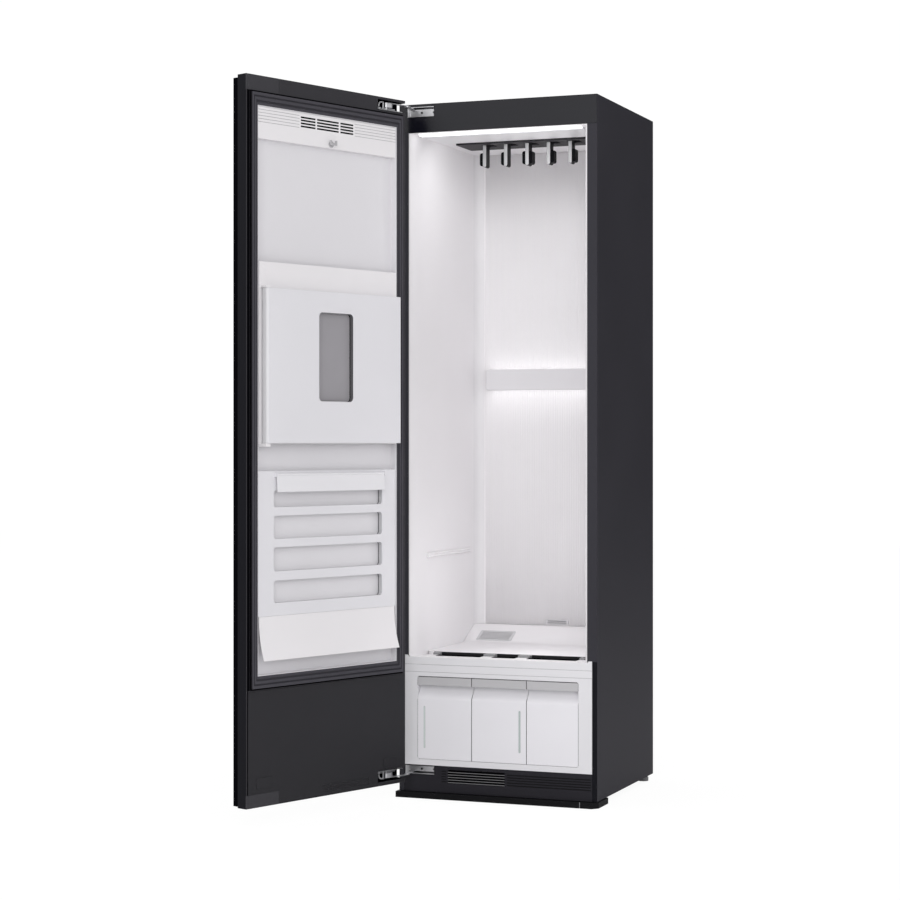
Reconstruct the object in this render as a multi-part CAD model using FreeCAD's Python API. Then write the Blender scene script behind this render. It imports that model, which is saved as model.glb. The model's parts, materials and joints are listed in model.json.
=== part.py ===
"""Clothes care steam cabinet: every named solid, in millimetres, +Z up.

Frame: the origin is on the floor at mid-width in the plane of the cabinet front, +X to the
right, +Y towards the wall behind. The door and all it carries are drawn closed and then swung
open, because the door stands open at rest.
"""
import math
import os

import FreeCAD
import Part

V = FreeCAD.Vector
os.makedirs("parts", exist_ok=True)

# ---- overall sizes ------------------------------------------------------------------------
HALF_W = 295.0          # half the cabinet width
DEPTH = 535.0           # body depth behind the front plane
HEIGHT = 1960.0         # floor to top
SHEET = 1.2             # steel sheet
TOP_T = 1.6             # top cover sheet
BODY_Z = 18.0           # underside of the body above the floor
TOUCH = 0.2             # gap left between neighbouring fixed pieces
SEAT = 0.3              # gap between the closed door seal and the cabinet face
RUN = 0.05              # running clearance around a shaft, radial

# ---- front opening -------------------------------------------------------------------------
FLANGE_W = 29.0         # front flange beside the chamber
BAY_EDGE = 15.0         # front flange beside the tank surround
HEADER_H = 80.0
OPEN_Z0 = 398.0         # sill of the chamber
STILE = HALF_W - FLANGE_W
HEAD_Z = HEIGHT - HEADER_H          # seam between flanges and header
OPEN_Z1 = HEAD_Z - 3.0
BAY_HALF = HALF_W - BAY_EDGE        # half width of the tank surround
BAY_Z0 = 93.0
BAY_Z1 = OPEN_Z0 + 5.4              # the narrow flange ends here

# ---- chamber -------------------------------------------------------------------------------
LINER_T = 2.0
FLARE_Y = 35.0
BACK_GAP = 38.0         # machine and foam space behind the back wall
BACK_R = 30.0
LEDGE_Y = 75.0
FLOOR_T = 2.5
FLOOR_CORNER = 25.0     # the raised floor's front corners
CREASE_W = 112.0        # depth of the rising rear part of the floor
RISE_H = 47.0
MOUTH_X = STILE - LINER_T - TOUCH   # inner face at the flared mouth
WALL_X = STILE - 11.0               # inner face of the side walls
BACK_Y = DEPTH - BACK_GAP           # inner face of the back wall
FLOOR_Y = LEDGE_Y + 23.2            # front edge of the raised floor
FLOOR_Z = OPEN_Z0 + 7.0
CREASE_Y = BACK_Y - CREASE_W
RISE_Y, RISE_Z = BACK_Y - 19.0, FLOOR_Z + RISE_H
RIB_PITCH = 5.6
RIB_COUNT = int(2 * (WALL_X - BACK_R) / RIB_PITCH)
PANEL_Z0 = RISE_Z + 2.0             # foot of the fluted panel
LIGHT_Z, LIGHT_H = 1162.0, 63.0     # back light bar

# ---- hangers -------------------------------------------------------------------------------
HOOK_COUNT, HOOK_PITCH = 5, 66.0
HOOK_HALF = 5.5
HOOK_Y0 = 247.0
HOOK_Y1 = HOOK_Y0 + 30.0
HOOK_Z = OPEN_Z1 - 69.5
PEG_W = 10.0            # black pegs stand out this far beside a hook
HOOK_XS = [HOOK_PITCH * (i - (HOOK_COUNT - 1) / 2) for i in range(HOOK_COUNT)]
SHAKE = 20.0            # sideways stroke of the hanger carriage
TRACK_X = 210.0         # half length of the hanger unit
GUIDE_YS, GUIDE_Z, GUIDE_R = (HOOK_Y0 - 9.0, HOOK_Y1 + 15.0), OPEN_Z1 + 25.0, 4.0

# ---- tanks ---------------------------------------------------------------------------------
TANK_W = 164.0          # pitch of the two water tanks; the drawer takes the rest
TANK_L = 150.0
TANK_Z0 = BAY_Z0 + 17.0
TANK_Z1 = OPEN_Z0 - 54.0
BAY_X = (-(STILE - 27.0), -(STILE - 27.0) + TANK_W, -(STILE - 26.5) + 2 * TANK_W, STILE - 25.5)
BAND_Z = TANK_Z1 - 25.3             # lower edge of the label band
SCOOP_Z, SCOOP_D = TANK_Z1 - 65.0, 19.0
TANK_GAP = 0.8
TANK_WALL = 2.5
RAIL_H = 5.0            # the drawers slide on rails this high

# ---- door ----------------------------------------------------------------------------------
DOOR_Z0, DOOR_Z1 = 55.4, HEIGHT - 1.6
INNER_Y = -8.0          # inner face of the closed door
FRAME_T, PAN_DEEP, GLASS_D = 33.5, 18.8, 16.4
FRAME_Y = INNER_Y - FRAME_T
GLASS_Y1 = FRAME_Y - 1.5
GLASS_Y0 = GLASS_Y1 - GLASS_D
GLASS_T = 4.0
SWING_X, SWING_Y = -(HALF_W - 2.0), GLASS_Y0 + 0.4
SWING = 110.7           # degrees from closed to open
PAN_X, PAN_Z0, PAN_Z1 = HALF_W - 37.4, OPEN_Z0 - 1.6, HEAD_Z + 0.6
PAN_Y = INNER_Y - PAN_DEEP

# ---- hinge linkage: a crank on the cabinet and a link that keeps its direction ---------------
CRANK_X, CRANK_Y = -(HALF_W - 37.0), 10.0
DOOR_PIN = (-(HALF_W - 55.0), INNER_Y - 22.0)
LINK_R, LINK_T = 6.5, 2.0
LOW_HINGE_Z = 75.0
HINGES = ((HEIGHT - 15.2, 1, HEIGHT - 36.0, HEIGHT - 8.0, -(HALF_W - 26.0), -(HALF_W - 105.7)),
          (LOW_HINGE_Z, -1, LOW_HINGE_Z - 7.2, LOW_HINGE_Z + 15.5, -(BAY_HALF - 4.5), -(HALF_W - 106.3)))
RECESS_X = -(HALF_W - 108.0)

# ---- press panel and rack flap ---------------------------------------------------------------
PRESS_Z0, PRESS_H = 1002.0, 404.0
PRESS_Z1 = PRESS_Z0 + PRESS_H
PRESS_X = WALL_X - 6.0
PRESS_PIN = (PRESS_X - 7.0, 9.0)
PLATE_X0, PLATE_X1 = -(PAN_X - 2.6), PAN_X - 4.6    # the plates inside the door pan
RACK_H = 379.0
RACK_Z1 = PRESS_Z0 - 73.0
RACK_Z0 = RACK_Z1 - RACK_H
FLAP_PIN = (-3.0, RACK_Z1 - 10.0)
FLAP_X0, FLAP_X1 = PLATE_X0 + 51.0, PLATE_X1 - 60.0

# ---- machine space ---------------------------------------------------------------------------
MACH_Z0, MACH_Z1 = BODY_Z + 2.0, OPEN_Z0 - 14.0
COMP_X, COMP_Y = -(HALF_W - 120.0), DEPTH - 120.0
BLOWER_X, BLOWER_Z = HALF_W - 120.0, 230.0


def box(x0, x1, y0, y1, z0, z1):
    return Part.makeBox(x1 - x0, y1 - y0, z1 - z0, V(x0, y0, z0))


def rod_x(y, z, x0, x1, r):
    return Part.makeCylinder(r, x1 - x0, V(x0, y, z), V(1, 0, 0))


def rod_y(x, z, y0, y1, r):
    return Part.makeCylinder(r, y1 - y0, V(x, y0, z), V(0, 1, 0))


def rod_z(x, y, z0, z1, r):
    return Part.makeCylinder(r, z1 - z0, V(x, y, z0), V(0, 0, 1))


def prism_x(points, x0, x1):
    """Extrude a (y, z) outline along X."""
    ring = [V(x0, y, z) for y, z in points]
    return Part.Face(Part.makePolygon(ring + ring[:1])).extrude(V(x1 - x0, 0, 0))


def prism_z(points, z0, z1):
    """Extrude an (x, y) outline along Z."""
    ring = [V(x, y, z0) for x, y in points]
    return Part.Face(Part.makePolygon(ring + ring[:1])).extrude(V(0, 0, z1 - z0))


def prism_y(points, y0, y1):
    """Extrude an (x, z) outline along Y."""
    ring = [V(x, y0, z) for x, z in points]
    return Part.Face(Part.makePolygon(ring + ring[:1])).extrude(V(0, y1 - y0, 0))


def polygon(u, v, r, sides=6):
    """Corners of a regular polygon about (u, v)."""
    turn = 2 * math.pi / sides
    return [(u + r * math.cos(turn * k), v + r * math.sin(turn * k)) for k in range(sides)]


def fuse(first, *rest):
    return first.fuse(list(rest)).removeSplitter() if rest else first


def cut(first, *rest):
    return first.cut(list(rest)) if rest else first


def soften(shape, r, axis):
    """Round every straight edge that runs along the given axis of a plain block."""
    picked = []
    for edge in shape.Edges:
        a, b = edge.Vertexes[0].Point, edge.Vertexes[-1].Point
        run = b.sub(a)
        if run.Length and abs(getattr(run, axis)) > 0.999 * run.Length:
            picked.append(edge)
    return shape.makeFillet(r, picked)


def round_slot(x0, x1, z0, z1, r, y0, y1, steps=4):
    """A rounded rectangle in the (x, z) plane, extruded along Y."""
    corners = ((x1 - r, z1 - r, 0), (x0 + r, z1 - r, 90), (x0 + r, z0 + r, 180), (x1 - r, z0 + r, 270))
    line = []
    for cx, cz, start in corners:
        for k in range(steps + 1):
            t = math.radians(start + 90 * k / steps)
            line.append((cx + r * math.cos(t), cz + r * math.sin(t)))
    return prism_y(line, y0, y1)


def soft_box(x0, x1, y0, y1, z0, z1, r, axis):
    return soften(box(x0, x1, y0, y1, z0, z1), r, axis)


def bar(p, q, r, z0, z1, steps=7):
    """A flat link with round ends between two (x, y) points."""
    heading = math.atan2(q[1] - p[1], q[0] - p[0])
    line = []
    for centre, start in ((q, heading - math.pi / 2), (p, heading + math.pi / 2)):
        for k in range(steps + 1):
            t = start + math.pi * k / steps
            line.append((centre[0] + r * math.cos(t), centre[1] + r * math.sin(t)))
    return prism_z(line, z0, z1)


def mirror_x(shape):
    return shape.mirror(V(0, 0, 0), V(1, 0, 0))


def turned(shape, degrees, x, y):
    moved = shape.copy()
    moved.rotate(V(x, y, 0), V(0, 0, 1), degrees)
    return moved


def save(node, shape):
    shape.exportStep("parts/" + node + ".step")


def save_on_door(node, shape):
    save(node, turned(shape, -SWING, SWING_X, SWING_Y))


def tub(wall, mouth, back, r, z0, z1):
    """Plan outline of the chamber, flared at the mouth and rounded at the back, extruded up."""
    def arc(a, b, c):
        return Part.Arc(V(*a, z0), V(*b, z0), V(*c, z0)).toShape()

    def line(a, b):
        return Part.makeLine(V(*a, z0), V(*b, z0))

    k = r * (1 - math.sqrt(0.5))
    lift = wall + (mouth - wall) * 0.22
    edges = [
        arc((-mouth, 0), (-lift, FLARE_Y * 0.42), (-wall, FLARE_Y)),
        line((-wall, FLARE_Y), (-wall, back - r)),
        arc((-wall, back - r), (-wall + k, back - k), (-wall + r, back)),
        line((-wall + r, back), (wall - r, back)),
        arc((wall - r, back), (wall - k, back - k), (wall, back - r)),
        line((wall, back - r), (wall, FLARE_Y)),
        arc((wall, FLARE_Y), (lift, FLARE_Y * 0.42), (mouth, 0)),
        line((mouth, 0), (-mouth, 0)),
    ]
    return Part.Face(Part.Wire(edges)).extrude(V(0, 0, z1 - z0))


# ---- outer shell ---------------------------------------------------------------------------
shell_top = HEIGHT - TOP_T
inner_w = HALF_W - SHEET
side = fuse(
    box(inner_w, HALF_W, 0, DEPTH, BODY_Z, shell_top),
    box(STILE, inner_w, 0, SHEET, BAY_Z1, HEAD_Z),
    box(BAY_HALF + TOUCH, inner_w, 0, SHEET, BODY_Z, BAY_Z1),
    box(STILE, STILE + SHEET, SHEET, 14, BAY_Z1, HEAD_Z),
    box(inner_w - 15.8, inner_w, DEPTH - 2 * SHEET - TOUCH, DEPTH - SHEET - TOUCH, BODY_Z, shell_top),
)
save("side_panel_right", side)
save("side_panel_left", mirror_x(side))

stiff_x = HALF_W - 25
top = fuse(box(-HALF_W, HALF_W, 0, DEPTH, shell_top, HEIGHT),
           box(-stiff_x, stiff_x, 60, 61.2, shell_top - 12, shell_top),
           box(-stiff_x, stiff_x, DEPTH - 20, DEPTH - 18.8, shell_top - 12, shell_top))
save("top_cover", top)

rear = box(-inner_w + TOUCH, inner_w - TOUCH, DEPTH - SHEET, DEPTH, BODY_Z + 2, shell_top - TOUCH)
for x0, x1 in ((-200, -60), (60, 200)):
    rear = cut(rear, *[box(x0, x1, DEPTH - 3, DEPTH + 1, z, z + 5) for z in range(80, 200, 20)])
screw_low, screw_rows = 60.0, 4
screw_pitch = (HEIGHT - 30 - screw_low) / (screw_rows - 1)
screws = [prism_y(polygon(x, screw_low + screw_pitch * k, 4.5), DEPTH, DEPTH + 1.6)
          for x in (-(HALF_W - 11), 0, HALF_W - 11) for k in range(screw_rows)]
save("rear_cover", fuse(rear, *screws))

head_x = inner_w - TOUCH
header = fuse(box(-head_x, head_x, 0, SHEET, HEAD_Z + TOUCH, shell_top - TOUCH),
              box(-head_x, head_x, SHEET, 20, HEAD_Z + TOUCH, HEAD_Z + TOUCH + SHEET),
              box(-head_x, head_x, SHEET, 20, shell_top - TOUCH - SHEET, shell_top - TOUCH))
_, _, hz0, hz1, hx0, hx1 = HINGES[0]
save("front_header", cut(header, box(hx0 - 0.3, hx1 + 0.3, -1, 3, hz0 - 0.3, hz1 + 0.3)))

FOOT_X, FOOT_Y, STUD_R, NUT_R = HALF_W - 23, DEPTH - 27, 4.0, 10.0
notch_x = FOOT_X + 5
pan = cut(box(-head_x, head_x, 14, DEPTH - 3, BODY_Z, 34),
          box(-inner_w + 2, inner_w - 2, 15.6, DEPTH - 4.6, BODY_Z + 2, 35),
          *[box(s * notch_x - 18, s * notch_x + 18, DEPTH - 8, DEPTH - 2, BODY_Z + 2, 35) for s in (-1, 1)])
for s in (-1, 1):
    pan = fuse(pan, prism_z(polygon(s * FOOT_X, FOOT_Y, NUT_R), BODY_Z + 1, 32))
pan = cut(pan, *[rod_z(s * FOOT_X, FOOT_Y, 10, 40, STUD_R + RUN) for s in (-1, 1)])
save("base_pan", pan)
for node, s in (("foot_left", -1), ("foot_right", 1)):
    save(node, fuse(prism_z(polygon(s * FOOT_X, FOOT_Y, 16, 24), 0, 11),
                    prism_z(polygon(s * FOOT_X, FOOT_Y, NUT_R), 11, BODY_Z - 0.4),
                    rod_z(s * FOOT_X, FOOT_Y, BODY_Z - 0.4, 36, STUD_R)))

bar_l, bar_r = -(HALF_W + 7), HALF_W + 3
bar_plan = [(bar_l, -12), (bar_r - 16, -12), (bar_r, 4), (bar_r, 90), (bar_l, 90)]
foot_bar = fuse(prism_z(bar_plan, 0, 17),
                *[box(x - 20, x + 20, 30, 70, 17, BODY_Z) for x in (-240, 0, 240)])
foot_bar = cut(foot_bar, box(bar_r - 50.5, bar_r - 49.3, -13, -11, -1, 18))
save("front_foot_bar", foot_bar)

# ---- chamber ---------------------------------------------------------------------------------
liner_z0 = OPEN_Z0 - 4
outer = tub(WALL_X + LINER_T, MOUTH_X + LINER_T, BACK_Y + LINER_T, BACK_R + LINER_T,
            liner_z0 - LINER_T, OPEN_Z1 + LINER_T)
inner = tub(WALL_X, MOUTH_X, BACK_Y, BACK_R, liner_z0, OPEN_Z1)
liner = cut(outer, inner, box(-MOUTH_X, MOUTH_X, -1, 0.5, liner_z0, OPEN_Z1))
ledge = inner.common(box(-HALF_W, HALF_W, 0, LEDGE_Y, liner_z0, OPEN_Z0))
liner = fuse(liner, ledge)
vent_x = WALL_X - 37
liner = cut(liner, box(-HALF_W, HALF_W, -1, 3 + TOUCH, liner_z0 - 14, OPEN_Z0 + 2),
            box(5 - TRACK_X, TRACK_X - 5, HOOK_Y0 - 22, HOOK_Y1 + 58, OPEN_Z1 - 1, OPEN_Z1 + 3),
            box(31 - WALL_X, WALL_X - 31, LEDGE_Y + 4, LEDGE_Y + 20, liner_z0 - 3, liner_z0 + 1),
            box(4 - vent_x, 108 - vent_x, CREASE_Y + 15, CREASE_Y + 57, liner_z0 - 3, liner_z0 + 1),
            box(-28, 40, BACK_Y - 1, BACK_Y + 3, RISE_Z + 6, RISE_Z + 17))
save("chamber_liner", liner)

flutes = []
start = -RIB_PITCH * RIB_COUNT / 2
for i in range(RIB_COUNT):
    x = start + i * RIB_PITCH
    flutes += [(x, BACK_Y - 1.4), (x + 1.3, BACK_Y - 2.7), (x + 4.3, BACK_Y - 2.7)]
flutes += [(-start, BACK_Y - 1.4), (-start, BACK_Y), (start, BACK_Y)]
fluted = cut(prism_z(flutes, PANEL_Z0, OPEN_Z1 - 0.4),
             box(-31, 43, BACK_Y - 7, BACK_Y + 1, RISE_Z + 3, RISE_Z + 20))
save("fluted_back_panel", fluted)

vent = cut(round_slot(-30, 42, RISE_Z + 4, RISE_Z + 19, 3, BACK_Y - 3.6, BACK_Y),
           *[box(-24, 36, BACK_Y - 4, BACK_Y + 1, z, z + 2.4) for z in (RISE_Z + 7.6, RISE_Z + 13)])
save("rear_air_vent", vent)

slope = math.atan2(RISE_Z - FLOOR_Z, RISE_Y - CREASE_Y)
floor_end = BACK_Y - 3.2


def floor_form(inset):
    """The raised floor as a solid block with rounded front corners, drawn in by the given inset."""
    line = [(FLOOR_Y + inset, liner_z0), (FLOOR_Y + inset, FLOOR_Z - inset), (CREASE_Y, FLOOR_Z - inset),
            (RISE_Y, RISE_Z - inset), (floor_end, RISE_Z - inset), (floor_end, liner_z0)]
    plan = soft_box(0.4 + inset - WALL_X, WALL_X - 0.4 - inset, FLOOR_Y + inset, DEPTH + 2 * FLOOR_CORNER,
                    liner_z0 - 1, RISE_Z + 1, FLOOR_CORNER - inset, "z")
    return prism_x(line, -HALF_W, HALF_W).common(plan)


behind = tub(WALL_X - 0.4, MOUTH_X - 0.4, BACK_Y - 0.4, BACK_R, liner_z0 - 4, RISE_Z + 8)
floor = cut(floor_form(0).common(behind), floor_form(FLOOR_T))


def on_slope(shape):
    """Lay a part drawn flat at the origin onto the rising part of the floor."""
    laid = shape.copy()
    laid.rotate(V(0, 0, 0), V(1, 0, 0), math.degrees(slope))
    laid.translate(V(0, CREASE_Y, FLOOR_Z))
    return laid


floor = cut(floor, on_slope(box(6 - vent_x, 106 - vent_x, 18, 62, -6, 2)))
save("chamber_floor", floor)
grille = cut(soft_box(-vent_x, 112 - vent_x, 13, 67, 0, 2, 5, "z"),
             *[box(8 - vent_x, 104 - vent_x, 20 + 7 * i, 23.5 + 7 * i, -1, 3) for i in range(6)])
save("steam_vent_grille", on_slope(grille))

slot_x = WALL_X - 27
slot_y1, slot_z1 = FLOOR_Y - TOUCH, FLOOR_Z - 0.6
strip = fuse(box(-slot_x, slot_x, LEDGE_Y + TOUCH, slot_y1, liner_z0, liner_z0 + 1.6),
             box(-slot_x, slot_x, slot_y1 - 1.6, slot_y1, liner_z0, slot_z1),
             *[box(x0, x1, LEDGE_Y + 2, slot_y1 - 1.6, liner_z0 + 1, slot_z1 - 0.8) for x0, x1 in
               ((5 - slot_x, 24 - slot_x), (-69, -35), (35, 70), (slot_x - 10, slot_x - 0.5))])
save("front_air_slot", strip)

rail_z = OPEN_Z0 + 275
rail = cut(round_slot(WALL_X - 7.5, WALL_X, rail_z, rail_z + 14, 3, 105, BACK_Y - 63),
           box(WALL_X - 8, WALL_X - 5.5, 112, BACK_Y - 70, rail_z + 5, rail_z + 9))
save("shelf_rail_right", rail)
save("shelf_rail_left", mirror_x(rail))

lamp_x = WALL_X - 15
save("ceiling_lamp", soft_box(-lamp_x, lamp_x, 8, 58, OPEN_Z1 - 5, OPEN_Z1, 4, "z"))
save("ceiling_panel", box(-lamp_x, lamp_x, 62, HOOK_Y0 - 47, OPEN_Z1 - 3, OPEN_Z1))
cover = soft_box(-TRACK_X, TRACK_X, HOOK_Y0 - 32, HOOK_Y1 + 63, OPEN_Z1 - 6, OPEN_Z1, 5, "z")
cover = cut(cover, *[box(x - HOOK_HALF - 2, x + HOOK_HALF + SHAKE + 2, HOOK_Y0 - 3, HOOK_Y1 + 3,
                         OPEN_Z1 - 7, OPEN_Z1 + 1) for x in HOOK_XS])
save("hanger_track_cover", cover)

light_x, light_mid = WALL_X - 39, LIGHT_Z + LIGHT_H / 2
bar_light = soft_box(-light_x, light_x, BACK_Y - 23, BACK_Y - 14, LIGHT_Z, LIGHT_Z + LIGHT_H, 8, "y")
bar_light = fuse(bar_light, *[box(x - 7, x + 7, BACK_Y - 14, BACK_Y - 2.7, light_mid - 7, light_mid + 7)
                              for x in (-150, 150)])
save("back_light_bar", bar_light)
save("back_light_strips", Part.makeCompound([
    box(16 - light_x, light_x - 16, BACK_Y - 14, BACK_Y - 11, z, z + 8)
    for z in (LIGHT_Z + 6, LIGHT_Z + LIGHT_H - 14)]))

# ---- hanger drive ------------------------------------------------------------------------------
def guide_rail(y, x0, x1, r):
    """A square rail that the carriage slides along, or its passage."""
    return box(x0, x1, y - r, y + r, GUIDE_Z - r, GUIDE_Z + r)


carriage = fuse(box(45 - TRACK_X, TRACK_X - 45, HOOK_Y0, HOOK_Y1, OPEN_Z1 + 9, OPEN_Z1 + 16),
                *[box(x - 12, x + 12, GUIDE_YS[0] - 8, GUIDE_YS[1] + 8, OPEN_Z1 + 16, GUIDE_Z + 9)
                  for x in (-140, 140)])
carriage = cut(carriage, *[guide_rail(y, 40 - TRACK_X, TRACK_X - 40, GUIDE_R + RUN) for y in GUIDE_YS])
for x in HOOK_XS:
    blade = fuse(box(x - HOOK_HALF, x + HOOK_HALF, HOOK_Y0, HOOK_Y1, HOOK_Z + HOOK_HALF, OPEN_Z1 + 10),
                 prism_y(polygon(x, HOOK_Z + HOOK_HALF, HOOK_HALF, 12), HOOK_Y0, HOOK_Y1))
    carriage = fuse(carriage, blade)
save("hanger_bar", carriage)
pegs = []
for x in HOOK_XS:
    for s in (-1, 1):
        if s * x >= 0:
            x0, x1 = sorted((x + s * (HOOK_HALF - 8), x + s * (HOOK_HALF + PEG_W)))
            peg = round_slot(x0, x1, HOOK_Z + 4, HOOK_Z + 42, 6, HOOK_Y0 + 2, HOOK_Y1 - 2)
            blade = box(x - HOOK_HALF, x + HOOK_HALF, HOOK_Y0, HOOK_Y1, HOOK_Z - 1, HOOK_Z + 50)
            pegs.append(cut(peg, blade))
save("hook_pads", Part.makeCompound(pegs))
drive_y, drive_z = HOOK_Y1 + 31, OPEN_Z1 + 2
ends = [box(x0, x1, HOOK_Y0 - 25, drive_y, drive_z, GUIDE_Z + 12)
        for x0, x1 in ((6 - TRACK_X, 20 - TRACK_X), (TRACK_X - 20, TRACK_X - 6))]
drive = fuse(box(6 - TRACK_X, TRACK_X - 6, drive_y, drive_y + 12, drive_z, drive_z + 11), *ends)
drive = fuse(drive, *[guide_rail(y, 14 - TRACK_X, TRACK_X - 14, GUIDE_R) for y in GUIDE_YS])
drive = fuse(drive, prism_z(polygon(0, drive_y + 62, 32, 16), drive_z + 11, drive_z + 57),
             box(-45, 45, drive_y + 10, drive_y + 102, drive_z, drive_z + 11))
save("hanger_drive", drive)
save("control_box", soft_box(70, WALL_X - 5, drive_y + 42, DEPTH - 35, drive_z, drive_z + 57, 4, "z"))

# ---- tank bay ----------------------------------------------------------------------------------
x_first, x_last = BAY_X[0], BAY_X[-1]
lip = [(STILE + 4, OPEN_Z0 + 5), (STILE + 2.4, OPEN_Z0 + 3.8), (STILE + 1, OPEN_Z0 + 1.8),
       (STILE - 2, OPEN_Z0 + 0.2), (STILE - 8, OPEN_Z0 - 0.4)]
plate_line = [(BAY_HALF, BAY_Z0 + TOUCH), (BAY_HALF, OPEN_Z0 + 5)] + lip
surround = prism_y(plate_line + [(-x, z) for x, z in reversed(plate_line)], 0, 3)
surround = fuse(surround, box(x_first - 10, x_last + 10, 3, TANK_L + 22,
                              TANK_Z0 - RAIL_H - 2, TANK_Z1 + 12))
surround = cut(surround, box(x_first - 8, x_last + 8, 3, TANK_L + 20, TANK_Z0 - RAIL_H, TANK_Z1 + 10),
               soft_box(x_first, x_last, -1, 4, TANK_Z0, TANK_Z1, 6, "y"))
rails = [box(x - 5, x + 5, 3, TANK_L + 20, TANK_Z0 - RAIL_H, TANK_Z0)
         for a, b in zip(BAY_X, BAY_X[1:]) for x in (a + 24, b - 24)]
guides = [box(x - 1, x + 1, 12, TANK_L + 20, TANK_Z0 - RAIL_H, TANK_Z0 + 3.5) for x in BAY_X[1:3]]
surround = fuse(surround, *rails, *guides)
surround = cut(surround, *[box(-BAY_HALF - 1, BAY_HALF + 1, -1, 0.8, z - 0.6, z + 0.6)
                           for z in (TANK_Z1 + 33, TANK_Z1 + 12)])
save("tank_bay", surround)

scoop = [(0, TANK_Z1 - TANK_GAP), (0, BAND_Z), (SCOOP_D, BAND_Z)]
for k in range(11):
    t = k / 10
    scoop.append((SCOOP_D * (1 - t * t * (3 - 2 * t)), BAND_Z - 5 + (SCOOP_Z - BAND_Z + 5) * t))
scoop += [(0, TANK_Z0 + TANK_GAP), (TANK_L, TANK_Z0 + TANK_GAP), (TANK_L, TANK_Z1 - TANK_GAP)]


def tank_shell(i):
    """Outer form of one drawer and the span between its side walls."""
    x0, x1 = BAY_X[i] + TANK_GAP, BAY_X[i + 1] - TANK_GAP
    past = (0 if i == 0 else 30, 0 if i == 2 else 30)     # only the outer corners are rounded
    rounded = soft_box(x0 - past[0], x1 + past[1], -1, TANK_L + 1, TANK_Z0 + TANK_GAP,
                       TANK_Z1 - TANK_GAP, 5.2, "y")
    shell = cut(prism_x(scoop, x0, x1).common(rounded),
                box(x0 - 1, x0 + 1.4, 10, TANK_L + 1, TANK_Z0 - 10, TANK_Z1 + 10),
                box(x1 - 1.4, x1 + 1, 10, TANK_L + 1, TANK_Z0 - 10, TANK_Z1 + 10))
    return shell, x0 + 1.4 + TANK_WALL, x1 - 1.4 - TANK_WALL


front_in = SCOOP_D + 3
for i, node, gauge_x, gauge_top in ((0, "supply_tank", x_first + 21, SCOOP_Z - 19),
                                    (1, "drain_tank", BAY_X[2] - 20.5, SCOOP_Z - 21)):
    shell, a, b = tank_shell(i)
    hollow = box(a, b, front_in, TANK_L - TANK_WALL, TANK_Z0 + 4, TANK_Z1 - 4)
    gauge = round_slot(gauge_x - 2.75, gauge_x + 2.75, TANK_Z0 + 31, gauge_top, 2.7, 0, 1.6)
    filler = box(a + 14, b - 14, 48, TANK_L - 14, TANK_Z1 - 5, TANK_Z1 + 1)
    save(node, cut(shell, hollow, gauge, filler))
    save(node + "_window", gauge)

shell, a, b = tank_shell(2)
drawer_z = TANK_Z1 - 129
tray = cut(shell, box(a, b, front_in, TANK_L - TANK_WALL, TANK_Z0 + 4, TANK_Z1 + 1),
           box(a - 10, b + 10, front_in + 1, TANK_L + 1, drawer_z, TANK_Z1 + 6))
save("filter_drawer", tray)
holes = int((b - a - 18) // 30)
mesh = cut(box(a + 2, b - 2, 60, 72, TANK_Z0 + 4, drawer_z - 7),
           *[box(a + 9 + 30 * k, a + 34 + 30 * k, 59, 73, TANK_Z0 + 10 + 28 * j, TANK_Z0 + 32 + 28 * j)
             for k in range(holes) for j in range(3)])
save("lint_filter", mesh)

# ---- kick grille ---------------------------------------------------------------------------------
LOUVRE_X0, LOUVRE_X1, LOUVRE_Z, SLAT_PITCH, SLATS = -147.0, 23.7, 46.6, 7.2, 5
kick = box(-BAY_HALF, BAY_HALF, 0, 2.5, BODY_Z + TOUCH, BAY_Z0)
_, _, lz0, lz1, lx0, lx1 = HINGES[1]
rows = [LOUVRE_Z + SLAT_PITCH * i for i in range(SLATS)]
kick = cut(kick, box(lx0 - 0.3, lx1 + 0.3, -1, 3, lz0 - 0.3, lz1 + 0.3),
           box(LOUVRE_X0, LOUVRE_X1, -1, 3, LOUVRE_Z - 0.8, LOUVRE_Z + SLAT_PITCH * SLATS + 0.8),
           *[box(LOUVRE_X0 - 19, LOUVRE_X0 - 5, -1, 0.8, z + 1, z + 4) for z in rows],
           *[box(LOUVRE_X1 + 6.3, BAY_HALF - 3.4, -1, 1.2, z + 0.6, z + 3.8) for z in rows])
kick = fuse(kick, *[prism_x([(0.3, z), (0.3, z + 1.6), (6, z + 6.6), (6, z + 5)],
                            LOUVRE_X0 - 1, LOUVRE_X1 + 1) for z in rows])
save("kick_grille", kick)

# ---- machine space ---------------------------------------------------------------------------------
DRUM_SIDES = 16         # round housings hidden in the machine space are many-sided
can = [prism_z(polygon(COMP_X, COMP_Y, r, DRUM_SIDES), z0, z1)
       for r, z0, z1 in ((62, 60, 150), (66, 150, 156), (60, 156, 228), (44, 228, 244))]
shell = fuse(*can,
             box(COMP_X - 70, COMP_X + 70, COMP_Y - 64, COMP_Y + 64, 34, 40),
             box(COMP_X - 36, COMP_X + 36, COMP_Y - 36, COMP_Y + 36, 40, 60),
             *[box(x - 9, x + 9, y - 9, y + 9, MACH_Z0, 34) for x in (COMP_X - 58, COMP_X + 58)
               for y in (COMP_Y - 52, COMP_Y + 52)])
save("compressor", shell)
coil_x0, coil_x1, coil_y1 = COMP_X + 105, BLOWER_X - 115, DEPTH - 35
fins = int((coil_y1 - 212) // 14)
save("heat_exchanger", cut(box(coil_x0, coil_x1, 200, coil_y1, MACH_Z0, 250),
                           *[box(coil_x0 - 1, coil_x1 + 1, 210 + 14 * i, 222 + 14 * i, 30, 244)
                             for i in range(fins)]))


def drum_y(r, y0, y1):
    """A many-sided drum on the blower's axis."""
    return prism_y(polygon(BLOWER_X, BLOWER_Z, r, DRUM_SIDES), y0, y1)


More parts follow.
